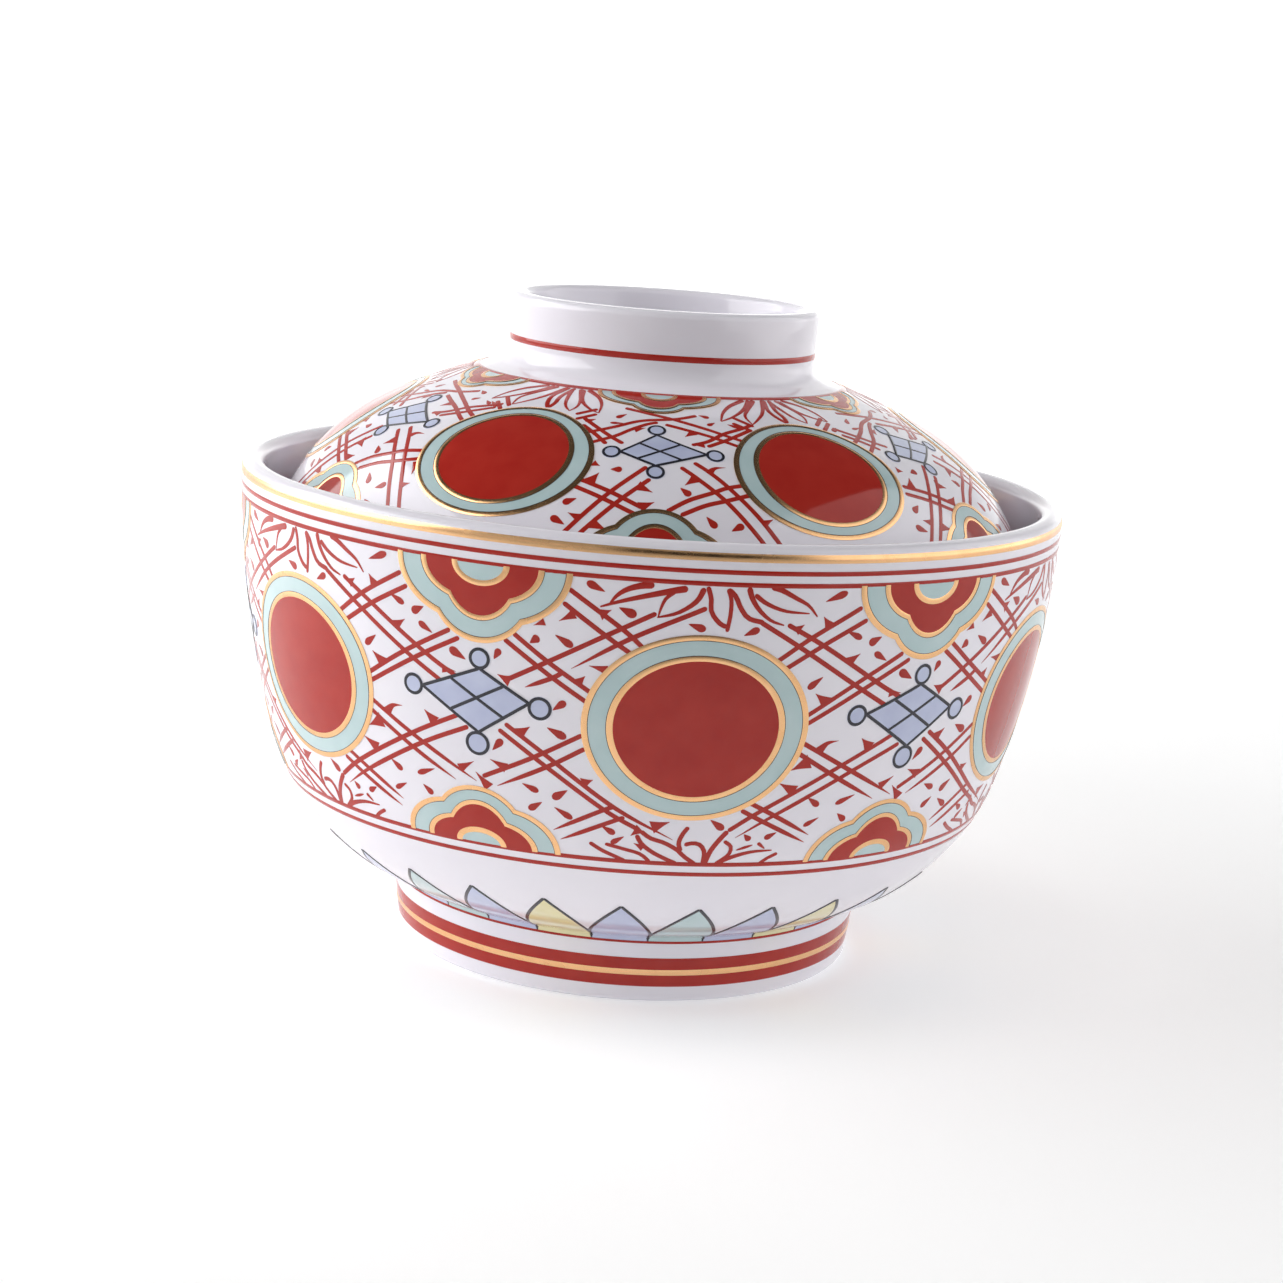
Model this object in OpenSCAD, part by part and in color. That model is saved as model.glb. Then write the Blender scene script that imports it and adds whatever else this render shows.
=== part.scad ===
// Lidded porcelain soup bowl, in millimetres, standing on the XY plane with its axis along Z.
// The bowl has a rounded lip and stands on a foot ring. The domed lid drops inside the mouth,
// and its rounded edge rests on the tapering wall below the lip. The ring knob on the lid is
// also a foot: turned over, the lid is a small dish. Each piece is one section spun about Z.

/* [Bowl] */
// Outer diameter of the bowl at its mouth
mouth_d = 115; // [105:1:130]
// Height of the bowl from the table to the top of its lip
bowl_h = 67; // [60:1:75]
// Thickness of the bowl's side wall
bowl_wall = 3.2; // [2.6:0.1:4]
// Radius of the long curve of the side
side_r = 146; // [120:2:180]
// Height above the lip at which the curve of the side would stand upright
side_rise = 2; // [0:0.5:5]
// Radius of the curve that turns the side in under the belly
haunch_r = 29; // [26:0.5:32]
// Radius of that turn on the inside
hollow_r = 24; // [20:0.5:25]
// Thickness of the floor
floor_t = 4.5; // [4:0.1:6]

/* [Foot ring] */
// Height of the bowl's underside above the table
foot_h = 8; // [6:0.5:10]
// Diameter of the standing face of the foot, at its middle
foot_d = 62; // [56:1:68]
// Width of the flat standing face of the foot
foot_land = 1.2; // [0.6:0.1:2]
// Radius of the rounded edges of the standing face
foot_edge_r = 1; // [0.5:0.1:1.4]
// Angle by which the outside of the foot spreads towards the bowl
foot_spread = 6; // [0:1:10]
// Angle by which the inside of the foot draws in towards the bowl
foot_draw = 8; // [0:1:12]
// Radius of the corner between the foot and the bowl
foot_fillet = 1.2; // [0.6:0.1:2]

/* [Lid] */
// Depth of the middle of the lid's edge below the top of the lip
lid_drop = 11; // [8:0.5:14]
// Gap between the lid's edge and the wall that it rests on
seat_gap = 0.3; // [0.2:0.05:0.6]
// Thickness of the lid
lid_wall = 3.2; // [2.6:0.1:4]
// Radius of the dome
dome_r = 82.5; // [76:0.5:100]
// Radius of the shoulder that turns the dome down to its edge
shoulder_r = 30; // [24:0.5:34]
// Angle by which the shoulder stops short of upright at the edge
edge_tuck = 14; // [8:1:20]

/* [Knob ring] */
// Height of the knob's rim above the top of the dome
knob_h = 6.5; // [4:0.5:10]
// Diameter of the flat rim of the knob, at its middle
knob_d = 40.7; // [34:0.1:46]
// Width of the flat rim of the knob
knob_land = 0.6; // [0.4:0.1:1.2]
// Radius of the rounded edges of the rim
knob_edge_r = 1; // [0.6:0.1:1.4]
// Angle by which the outside of the knob narrows towards the dome
knob_waist = 3; // [0:1:6]
// Angle by which the inside of the knob draws in towards the dome
knob_draw = 6; // [0:1:12]
// Radius of the corner between the knob and the dome
knob_fillet = 2.5; // [1:0.1:3]

/* [Hidden] */
$fn = 180;

// Depth by which a ring and its corners are rooted in the wall that carries them
ring_root = 1;
// Overlap by which a rounding bites into what it is tangent to, so that the two meet cleanly
bite = 0.0005;
// Glazed porcelain
porcelain = [0.95, 0.95, 0.97];

function unit(v) = v / norm(v);
function bearing(a) = [cos(a), sin(a)];

// Distance along the line from p in direction d to where it first meets a circle
function run_to_circle(p, d, centre, radius) =
    let (a = p - centre, b = a * d) -b - sqrt(b * b - a * a + radius * radius);

// Where a circle inside a larger one touches it, as seen from the smaller circle
function touch(centre, radius, outer_centre) = centre + radius * unit(centre - outer_centre);

// Centre of an arc that turns in from the long side curve to a floor at a given height
function turn_centre(side_radius, radius, floor_z) =
    let (y = floor_z + radius, rise = side_c.y - y, reach = side_radius - radius)
    [side_c.x + sqrt(reach * reach - rise * rise), y];

// The bowl: the side curve, the turns that it runs into, and the middle of the rounded lip
side_c = [mouth_d / 2 - side_r, bowl_h + side_rise];
side_in_r = side_r - bowl_wall;
haunch_c = turn_centre(side_r, haunch_r, foot_h);
hollow_c = turn_centre(side_in_r, hollow_r, foot_h + floor_t);
lip_r = bowl_wall / 2;
lip_lean = -asin((side_c.y - bowl_h + lip_r) / (side_r - lip_r));
lip_c = side_c + (side_r - lip_r) * bearing(lip_lean);

// The lid: its edge clears the bowl's wall by the seat gap, and the dome follows from there
edge_r = lid_wall / 2;
edge_z = bowl_h - lid_drop;
edge_reach = side_in_r - seat_gap - edge_r;
edge_c = side_c + edge_reach * bearing(-asin((side_c.y - edge_z) / edge_reach));
shoulder_c = edge_c - (shoulder_r - edge_r) * bearing(edge_tuck);
dome_c = [0, shoulder_c.y - sqrt(pow(dome_r - shoulder_r, 2) - pow(shoulder_c.x, 2))];
dome_top = dome_c.y + dome_r;
knob_top = dome_top + knob_h;

// Everything below the line through p that runs at an angle
module half_plane(p, angle) {
    extent = 4 * mouth_d;
    translate(p) rotate(angle) translate([-extent / 2, -extent]) square(extent);
}

// A disc that rounds off a corner or the end of a wall
module rounding(p, radius) {
    translate(p) circle(radius + bite);
}

// Everything inside a long curve and the tighter turn that it runs into. The children cover
// the stretch of the long curve, where the turn doesn't bind.
module turned_in(long_c, long_radius, turn_c, turn_radius) {
    intersection() {
        translate(long_c) circle(long_radius);
        union() {
            rounding(turn_c, turn_radius);
            children();
        }
    }
}

// Everything inside the side of the bowl, the turn below it and a flat floor
module cup(side_radius, turn_c, turn_radius) {
    join = touch(turn_c, turn_radius, side_c);
    floor_z = turn_c.y - turn_radius;
    intersection() {
        turned_in(side_c, side_radius, turn_c, turn_radius) {
            translate([0, join.y]) square([mouth_d, bowl_h]);
            square([turn_c.x, bowl_h]);
        }
        translate([0, floor_z]) square([mouth_d, bowl_h]);
    }
}

// Everything under the dome and its shoulder, drawn in from the outside by an inset
module cap(inset) {
    turn_radius = shoulder_r - inset;
    join = touch(shoulder_c, turn_radius, dome_c);
    intersection() {
        turned_in(dome_c, dome_r - inset, shoulder_c, turn_radius) square([join.x, knob_top]);
        translate([0, shoulder_c.y]) square([mouth_d, knob_top]);
    }
}

// Corner of a ring against the curve that it stands on. The side runs from foot_p in direction
// up, with the open air on the side that out points to.
module ring_corner(foot_p, up, out, fillet, curve_c, curve_r, core) {
    start = foot_p + fillet * out;
    arc_c = start + run_to_circle(start, up, curve_c, curve_r + fillet) * up;
    reach = fillet + ring_root;
    web = [arc_c - reach * out, arc_c, arc_c + reach * unit(curve_c - arc_c), core];
    difference() {
        polygon(cross(out, up) > 0 ? web : [for (i = [3:-1:0]) web[i]]);
        rounding(arc_c, fillet);
    }
}

// Section of a standing ring with its flat face on the X axis, rooted in a curve above it
module standing_ring(middle_r, land, edge_r, spread, draw, fillet, curve_c, curve_r) {
    outer = [middle_r + land / 2, edge_r];
    inner = [middle_r - land / 2, edge_r];
    out_n = bearing(-spread);
    in_n = bearing(180 + draw);
    out_up = bearing(90 - spread);
    in_up = bearing(90 + draw);
    out_p = outer + edge_r * out_n;
    in_p = inner + edge_r * in_n;
    root_r = curve_r - ring_root;
    root = [middle_r, run_to_circle([middle_r, 0], [0, 1], curve_c, root_r)];
    intersection() {
        union() {
            polygon([
                [inner.x, 0],
                [outer.x, 0],
                out_p,
                out_p + run_to_circle(out_p, out_up, curve_c, root_r) * out_up,
                in_p + run_to_circle(in_p, in_up, curve_c, root_r) * in_up,
                in_p
            ]);
            rounding(outer, edge_r);
            rounding(inner, edge_r);
        }
        square(mouth_d);
    }
    ring_corner(out_p, out_up, out_n, fillet, curve_c, curve_r, root);
    ring_corner(in_p, in_up, in_n, fillet, curve_c, curve_r, root);
}

module bowl_section() {
    difference() {
        cup(side_r, haunch_c, haunch_r);
        cup(side_in_r, hollow_c, hollow_r);
        half_plane(lip_c, 180 + lip_lean);
    }
    rounding(lip_c, lip_r);
    standing_ring(foot_d / 2, foot_land, foot_edge_r, foot_spread, foot_draw, foot_fillet,
        haunch_c, haunch_r);
}

module lid_section() {
    difference() {
        cap(0);
        cap(lid_wall);
        half_plane(edge_c, edge_tuck);
    }
    rounding(edge_c, edge_r);
    translate([0, knob_top]) mirror([0, 1])
        standing_ring(knob_d / 2, knob_land, knob_edge_r, -knob_waist, knob_draw, knob_fillet,
            [0, knob_top - dome_c.y], dome_r);
}

module bowl() {
    color(porcelain) rotate_extrude() bowl_section();
}

module lid() {
    color(porcelain) rotate_extrude() lid_section();
}

bowl();
lid();
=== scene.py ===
"""Looks of a lidded porcelain soup bowl with overglaze painting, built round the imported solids.

Sizes are in millimetres, as on the maker's drawing, and become metres where a mesh is placed.
A painted motif is drawn flat, as on a transfer sheet, and then wrapped round the ware. On a sheet
x runs round the ware, measured at the sheet's own radius, and s runs down the wall.
"""

import logging
import math
from collections.abc import Callable, Iterable, Sequence
from dataclasses import dataclass, field, replace
from enum import Enum

import bmesh
import bpy
from mathutils import Matrix, Vector


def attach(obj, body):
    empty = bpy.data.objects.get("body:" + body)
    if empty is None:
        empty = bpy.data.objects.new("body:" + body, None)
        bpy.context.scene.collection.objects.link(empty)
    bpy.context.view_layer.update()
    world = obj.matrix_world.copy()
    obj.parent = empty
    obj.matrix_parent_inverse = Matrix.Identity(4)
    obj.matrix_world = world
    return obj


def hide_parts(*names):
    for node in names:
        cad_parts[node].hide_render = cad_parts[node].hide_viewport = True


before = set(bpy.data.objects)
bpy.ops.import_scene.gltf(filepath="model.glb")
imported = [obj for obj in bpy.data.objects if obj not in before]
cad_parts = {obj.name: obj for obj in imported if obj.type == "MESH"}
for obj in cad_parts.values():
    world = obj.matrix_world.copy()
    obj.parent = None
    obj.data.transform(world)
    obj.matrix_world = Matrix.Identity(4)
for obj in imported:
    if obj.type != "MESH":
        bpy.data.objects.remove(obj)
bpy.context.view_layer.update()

LOG = logging.getLogger("lidded_bowl")
MM = 0.001
FULL_TURN = 2 * math.pi
# Times that the pattern goes round the ware
REPEATS = 6
SPIN_STEPS = 360
# Longest step along a section: on an arc by angle and by length, and on a straight stretch
ARC_STEP_ANGLE = math.radians(6)
ARC_STEP = 1.4
STRAIGHT_STEP = 2.0
# Points closer than this are one: in a section, in a spun mesh and on a flat sheet
SAME_POINT = 0.01
SPIN_MERGE = 0.002
SHEET_MERGE = 0.001
# Depth by which every painted layer is sunk into the glaze, so that it can't come away from it
SUNK = 0.06
# Faces across a painted ring
BAND_STEPS = 8
# Heights above the glaze of a ruled line, of flat enamel, and of gold and black lines
RULED_HEIGHT = 0.07
ENAMEL_HEIGHT = 0.06
LINE_HEIGHT = 0.11
# Longest steps along a stroke, round an oval and across a fill, and the length of a short stroke
STROKE_STEP = 0.6
OVAL_STEP = 0.8
FILL_STEP = 1.2
SHORT_STROKE = 3.0
# Widths of the red lines of the fence, and of the fine dark line along each edge of the celadon
FENCE_WIDTH = 0.62
HAIRLINE = 0.08
# How far the brush spreads past the drawn width: at a thorn's foot, in a drop and along a leaf
THORN_SPREAD = 1.65
DROP_SPREAD = 1.15
LEAF_SPREAD = 1.25
# How far a drop's head grows past its drawn start, as a share of its length
DROP_GROWTH = 0.28

Pair = tuple[float, float]


def bearing(angle: float) -> Vector:
    """Unit vector of a section at an angle from the horizontal, in radians."""
    return Vector((math.cos(angle), math.sin(angle)))


def run_to_circle(start: Vector, way: Vector, centre: Vector, radius: float) -> float:
    """Distance from a point along a direction to where it first meets a circle.

    Args:
        start: Point that the run starts from.
        way: Unit direction of the run.
        centre: Centre of the circle.
        radius: Radius of the circle.

    Returns:
        The distance, in the same unit as the points.
    """
    away = start - centre
    along = away.dot(way)
    return -along - math.sqrt(along * along - away.dot(away) + radius * radius)


def angle_of(v: Vector) -> float:
    """Angle of a section vector from the horizontal, in radians."""
    return math.atan2(v.y, v.x)


@dataclass(frozen=True)
class Arc:
    """A round stretch of a section, from one bearing to another about a centre."""

    centre: Vector
    radius: float
    start: float
    end: float
    hollow: bool = False

    @property
    def length(self) -> float:
        """Length of the stretch."""
        return abs(self.end - self.start) * self.radius

    def at(self, run: float) -> tuple[Vector, Vector]:
        """Point and outward normal at a run along the stretch."""
        out = bearing(self.start + (self.end - self.start) * run / self.length)
        return self.centre + self.radius * out, -out if self.hollow else out

    def points(self) -> list[Vector]:
        """Lays points along the stretch.

        Returns:
            The points, close enough together to look round.
        """
        by_angle = math.ceil(abs(self.end - self.start) / ARC_STEP_ANGLE)
        count = max(3, by_angle, math.ceil(self.length / ARC_STEP))
        return [self.at(self.length * i / count)[0] for i in range(count + 1)]


@dataclass(frozen=True)
class Straight:
    """A straight stretch of a section. The open air is on its left, seen along the run."""

    start: Vector
    end: Vector

    @property
    def length(self) -> float:
        """Length of the stretch."""
        return (self.end - self.start).length

    def at(self, run: float) -> tuple[Vector, Vector]:
        """Point and outward normal at a run along the stretch."""
        way = (self.end - self.start).normalized()
        return self.start + run * way, Vector((-way.y, way.x))

    def points(self) -> list[Vector]:
        """Points along the stretch."""
        count = max(1, math.ceil(self.length / STRAIGHT_STEP))
        return [self.start.lerp(self.end, i / count) for i in range(count + 1)]


def chained(runs: Iterable[Sequence[Vector]]) -> list[Vector]:
    """Joins runs of section points end to end.

    Args:
        runs: The runs, in order.

    Returns:
        The points of all of them, with none twice.
    """
    found: list[Vector] = []
    for run in runs:
        for point in run:
            if not found or (point - found[-1]).length > SAME_POINT:
                found.append(point)
    return found


def ring_side(
    edge: Arc, out: Vector, way: Vector, fillet: float, centre: Vector, radius: float
) -> tuple[Arc, Straight, Arc]:
    """Works out one side of a turned ring that stands on a round body.

    Args:
        edge: Rounded edge of the ring on that side.
        out: Unit direction that the side faces.
        way: Unit direction along the side, from the edge to the body.
        fillet: Radius of the corner against the body.
        centre: Centre of the body's arc.
        radius: Radius of the body's arc.

    Returns:
        The corner against the body, the straight side and the rounded edge.
    """
    end = edge.centre + edge.radius * out
    start = end + fillet * out
    corner_c = start + run_to_circle(start, way, centre, radius + fillet) * way
    from_body = angle_of(centre - corner_c) % FULL_TURN
    corner = Arc(corner_c, fillet, from_body, angle_of(-out) % FULL_TURN, True)
    return corner, Straight(corner_c - fillet * out, end), edge


@dataclass(frozen=True)
class Outline:
    """A chain of stretches of a section, read by the run along it."""

    stretches: tuple[Arc | Straight, ...]

    def at(self, run: float) -> tuple[Vector, Vector]:
        """Point and outward normal at a run along the chain.

        Args:
            run: Distance along the chain; past either end it stays on the end stretch.

        Returns:
            The point (r, z) and the unit normal there.
        """
        for stretch in self.stretches[:-1]:
            if run <= stretch.length:
                return stretch.at(run)
            run -= stretch.length
        return self.stretches[-1].at(run)

    def points(self) -> list[Vector]:
        """Points along the whole chain, with none twice."""
        return chained(stretch.points() for stretch in self.stretches)


def linear(hex_colour: str) -> tuple[float, float, float, float]:
    """Turns an sRGB hex colour into the linear colour that a shader takes.

    Args:
        hex_colour: Six hex digits after a hash.

    Returns:
        Linear red, green, blue and a full alpha.
    """
    parts = [int(hex_colour[i : i + 2], 16) / 255 for i in (1, 3, 5)]
    red, green, blue = [c / 12.92 if c <= 0.04045 else ((c + 0.055) / 1.055) ** 2.4 for c in parts]
    return red, green, blue, 1.0


def add_node(
    tree: bpy.types.NodeTree, kind: str, settings: dict | None = None, links: dict | None = None
) -> bpy.types.Node:
    """Adds a node with its settings and the links into it.

    Args:
        tree: Node tree that takes the node.
        kind: Type name of the node.
        settings: Values by attribute or by input name.
        links: Output sockets by the input name or index that they feed.

    Returns:
        The new node.
    """
    node = tree.nodes.new(kind)
    for name, value in (settings or {}).items():
        if isinstance(name, str) and hasattr(node, name):
            setattr(node, name, value)
        else:
            node.inputs[name].default_value = value
    for name, socket in (links or {}).items():
        tree.links.new(socket, node.inputs[name])
    return node


@dataclass(frozen=True)
class Finish:
    """A fired finish: the clear glaze on the porcelain, an overglaze enamel, or bright gold.

    Fields give the record's slot, the colour where the coat is full and where it lies thin or is
    worn, the size in millimetres of that variation, the roughness, and the height and size of the
    ripple in the surface. The last ones say how fine and how strong the variation is.
    """

    name: str
    slot: str
    colour: str
    thin_colour: str
    cloud: float
    roughness: float
    ripple: float
    ripple_size: float = 2.5
    ior: float = 1.5
    metallic: float = 0.0
    cloud_detail: float = 3.0
    cloud_span: Pair = (0.3, 0.7)
    ripple_detail: float = 1.0
    gloss_swing: float = 0.2

    def material(self) -> bpy.types.Material:
        """Builds the finish's material, once.

        Returns:
            The material, with colour clouds, a roughness that follows them and a fine ripple.
        """
        made = bpy.data.materials.get(self.name)
        if made:
            return made
        made = bpy.data.materials.new(self.name)
        made.use_nodes = True
        tree = made.node_tree
        shader = tree.nodes["Principled BSDF"]
        place = add_node(tree, "ShaderNodeTexCoord").outputs["Object"]
        cloud = add_node(
            tree,
            "ShaderNodeTexNoise",
            {"Scale": 1 / (self.cloud * MM), "Detail": self.cloud_detail},
            {"Vector": place},
        )
        low, high = self.cloud_span
        spread = add_node(
            tree,
            "ShaderNodeMapRange",
            {"From Min": low, "From Max": high},
            {"Value": cloud.outputs["Fac"]},
        )
        tint = add_node(
            tree,
            "ShaderNodeMix",
            {"data_type": "RGBA", 6: linear(self.colour), 7: linear(self.thin_colour)},
            {0: spread.outputs["Result"]},
        )
        gloss = add_node(
            tree,
            "ShaderNodeMapRange",
            {
                "To Min": self.roughness * (1 - self.gloss_swing),
                "To Max": self.roughness * (1 + self.gloss_swing),
            },
            {"Value": cloud.outputs["Fac"]},
        )
        peel = add_node(
            tree,
            "ShaderNodeTexNoise",
            {"Scale": 1 / (self.ripple_size * MM), "Detail": self.ripple_detail},
            {"Vector": place},
        )
        bump = add_node(
            tree,
            "ShaderNodeBump",
            {"Strength": 1.0, "Distance": self.ripple * MM},
            {"Height": peel.outputs["Fac"]},
        )
        shader.inputs["IOR"].default_value = self.ior
        shader.inputs["Metallic"].default_value = self.metallic
        tree.links.new(tint.outputs[2], shader.inputs["Base Color"])
        tree.links.new(gloss.outputs["Result"], shader.inputs["Roughness"])
        tree.links.new(bump.outputs["Normal"], shader.inputs["Normal"])
        return made


# Clear glaze on white porcelain: a cool white body under a glassy coat with a faint ripple
GLAZE = Finish(
    name="clear_glaze_on_porcelain",
    slot="porcelain_glaze",
    colour="#eeebf2",
    thin_colour="#ebe8f0",
    cloud=18.0,
    roughness=0.05,
    ripple=0.0012,
    ripple_size=6.0,
)
# Iron-red enamel: dense and warm, a shade lighter where the brush left less of it
RED = Finish(
    name="iron_red_enamel",
    slot="red_enamel",
    colour="#a7261e",
    thin_colour="#af2e24",
    cloud=4.0,
    roughness=0.07,
    ripple=0.0006,
    ior=1.4,
)
# Celadon-green enamel: pale and milky
AQUA = Finish(
    name="celadon_enamel",
    slot="aqua_enamel",
    colour="#b4ccce",
    thin_colour="#bdd2d4",
    cloud=5.0,
    roughness=0.1,
    ripple=0.0008,
    ior=1.62,
)
# Lavender-blue enamel: pale, a little clouded
BLUE = Finish(
    name="lavender_enamel",
    slot="blue_enamel",
    colour="#b6bddb",
    thin_colour="#c1c8e2",
    cloud=3.0,
    roughness=0.12,
    ripple=0.0008,
    ior=1.62,
)
# Straw-yellow enamel: pale and transparent
YELLOW = Finish(
    name="straw_enamel",
    slot="yellow_enamel",
    colour="#e0d79f",
    thin_colour="#e8e0b4",
    cloud=3.0,
    roughness=0.12,
    ripple=0.0008,
    ior=1.62,
)
# Black outline: a fine dark pen line under the enamel's gloss
BLACK = Finish(
    name="black_outline",
    slot="black_line",
    colour="#23232c",
    thin_colour="#30303a",
    cloud=2.0,
    roughness=0.2,
    ripple=0.001,
)
# Fired gold, burnished after the last firing: a thin warm metal film, pale where it mirrors a light and
# dark where it mirrors the room
GOLD = Finish(
    name="fired_gold",
    slot="fired_gold",
    colour="#f4c595",
    thin_colour="#eab680",
    cloud=3.0,
    roughness=0.25,
    ripple=0.0004,
    ripple_size=3.0,
    metallic=1.0,
    cloud_detail=4.0,
    cloud_span=(0.0, 1.0),
    ripple_detail=4.0,
    gloss_swing=0.4,
)


def start_mesh(name: str) -> bpy.types.Object:
    """Starts an empty mesh object at the origin and opens it for editing.

    Args:
        name: Name of the new object.

    Returns:
        The object, in edit mode with nothing in its mesh.
    """
    bpy.ops.object.select_all(action="DESELECT")
    bpy.ops.mesh.primitive_plane_add(size=MM)
    piece = bpy.context.object
    piece.name = name
    piece.data.name = name
    bpy.ops.object.mode_set(mode="EDIT")
    bpy.ops.mesh.delete(type="VERT")
    return piece


def dress(piece: bpy.types.Object, finish: Finish, body: str, sharp: float = 40.0) -> bpy.types.Object:
    """Gives a finished piece its smooth shading, finish and body.

    Args:
        piece: The finished mesh object.
        finish: Finish that it takes.
        body: Body that it moves with.
        sharp: Edges over this angle, in degrees, stay sharp.

    Returns:
        The same piece.
    """
    bpy.ops.object.select_all(action="DESELECT")
    piece.select_set(True)
    bpy.context.view_layer.objects.active = piece
    bpy.ops.object.shade_smooth_by_angle(angle=math.radians(sharp))
    piece.data.materials.clear()
    piece.data.materials.append(finish.material())
    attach(piece, body)
    LOG.info("%s: %d faces, %s", piece.name, len(piece.data.polygons), finish.name)
    return piece


def spin_section(name: str, points: Sequence[Vector], closed: bool) -> bpy.types.Object:
    """Spins a section once round the axis.

    Args:
        name: Name of the new piece.
        points: Section points (r, z), in order.
        closed: True for a ring, whose last point joins the first.

    Returns:
        The spun piece, closed, with its faces outwards.
    """
    piece = start_mesh(name)
    mesh = bmesh.from_edit_mesh(piece.data)
    made = [mesh.verts.new((0.0, -p.x * MM, p.y * MM)) for p in points]
    for a, b in zip(made, made[1:]):
        mesh.edges.new((a, b))
    if closed:
        mesh.edges.new((made[-1], made[0]))
    bmesh.update_edit_mesh(piece.data)
    bpy.ops.mesh.select_all(action="SELECT")
    bpy.ops.mesh.spin(steps=SPIN_STEPS, angle=FULL_TURN, center=(0, 0, 0), axis=(0, 0, 1))
    bpy.ops.mesh.select_all(action="SELECT")
    bpy.ops.mesh.remove_doubles(threshold=SPIN_MERGE * MM)
    bpy.ops.mesh.normals_make_consistent(inside=False)
    bpy.ops.object.mode_set(mode="OBJECT")
    return piece


def crown(across: float, fall: float = 0.4) -> float:
    """Share of a painted layer's height at a share of the way across it, full in the middle."""
    return 1 - fall * (2 * across - 1) ** 2


def painted_band(name: str, face: Outline, top: float, low: float, height: float) -> bpy.types.Object:
    """Spins a painted ring that lies on the ware between two runs.

    Args:
        name: Name of the new piece.
        face: Outline of the ware that carries the ring.
        top: Run of the ring's upper edge.
        low: Run of the ring's lower edge.
        height: Height of the ring above the glaze, in the middle.

    Returns:
        The spun ring.
    """
    upper: list[Vector] = []
    under: list[Vector] = []
    for i in range(BAND_STEPS + 1):
        across = i / BAND_STEPS
        point, out = face.at(top + (low - top) * across)
        upper.append(point + height * crown(across, 0.5) * out)
        under.append(point - SUNK * out)
    return spin_section(name, upper + under[::-1], True)


def rule_lines(body: str, face: Outline, lines: Sequence[Pair]) -> None:
    """Paints red ruled lines round the ware.

    Args:
        body: Body that the lines ride on.
        face: Outline of the ware that carries them.
        lines: Run and width of each line.
    """
    for number, (run, width) in enumerate(lines, 1):
        name = f"{body}_ruled_line_{number}"
        dress(painted_band(name, face, run - width / 2, run + width / 2, RULED_HEIGHT), RED, body)


class Brush(Enum):
    """The ways in which a brush stroke swells and thins along its length."""

    LINE = "an even line with blunt ends"
    TAIL = "an even line, drawn out to a point at its end"
    TIPS = "swelling in the middle and pointed at both ends"
    BLOB = "a full start that thins all the way to its end"
    THORN = "a wide start that runs straight to a point"
    DROP = "a round head and a drawn-out tail"

    def width(self, along: float) -> float:
        """Gives the stroke's width where the brush has come to.

        Args:
            along: Share of the stroke's length.

        Returns:
            The share of the full width there.
        """
        if self is Brush.LINE:
            return 1.0
        if self is Brush.TAIL:
            return 1.0 if along < 0.6 else 0.1 + 0.9 * math.cos((along - 0.6) / 0.8 * math.pi)
        if self is Brush.TIPS:
            return 0.15 + 0.85 * math.sin(math.pi * along) ** 0.7
        if self is Brush.BLOB:
            return 0.2 + 0.8 * (1 - along) ** 0.6
        if self is Brush.THORN:
            return 0.05 + 0.95 * (1 - along) ** 1.3
        head = 0.32
        if along < head:
            return 0.05 + 0.95 * math.sqrt(1 - (1 - along / head) ** 2)
        return 0.04 + 0.96 * ((1 - along) / (1 - head)) ** 0.85


@dataclass(frozen=True)
class Stroke:
    """One stroke of the brush: the points it runs through (x, s), its width and how it swells."""

    points: tuple[Pair, ...]
    width: float = 0.55
    brush: Brush = Brush.LINE

    def place(self, along: float) -> Vector:
        """Runs a smooth line through the stroke's points.

        Args:
            along: Share of the stroke's length.

        Returns:
            The point of the middle line there.
        """
        stops = [Vector(p) for p in self.points]
        spans = [(b - a).length for a, b in zip(stops, stops[1:])]
        run = along * sum(spans)
        index = 0
        while index < len(spans) - 1 and run > spans[index]:
            run -= spans[index]
            index += 1
        before = stops[max(index - 1, 0)]
        after = stops[min(index + 2, len(stops) - 1)]
        start, end = stops[index], stops[index + 1]
        t = run / spans[index]
        leave = (end - before) * (0.5 if index else 1.0)
        arrive = (after - start) * (0.5 if index + 2 < len(stops) else 1.0)
        return (
            start * (2 * t**3 - 3 * t**2 + 1)
            + leave * (t**3 - 2 * t**2 + t)
            + end * (3 * t**2 - 2 * t**3)
            + arrive * (t**3 - t**2)
        )

    def length(self) -> float:
        """Length of the stroke along its points."""
        return sum((Vector(b) - Vector(a)).length for a, b in zip(self.points, self.points[1:]))

    def half_width(self, along: float) -> float:
        """Gives half of the stroke's width, rounded off at an end that is full.

        Args:
            along: Share of the stroke's length.

        Returns:
            Half of the width there.
        """
        half = self.width / 2
        near = 1.0
        if self.brush in (Brush.LINE, Brush.TAIL, Brush.BLOB):
            near = along
        if self.brush is Brush.LINE:
            near = min(near, 1 - along)
        close = 1 - min(near * self.length() / half, 1.0)
        return half * self.brush.width(along) * max(0.1, math.sqrt(1 - close * close))


Line = Callable[[float], Pair]
Place = Callable[[float, float], tuple[float, float, float]]


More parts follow.
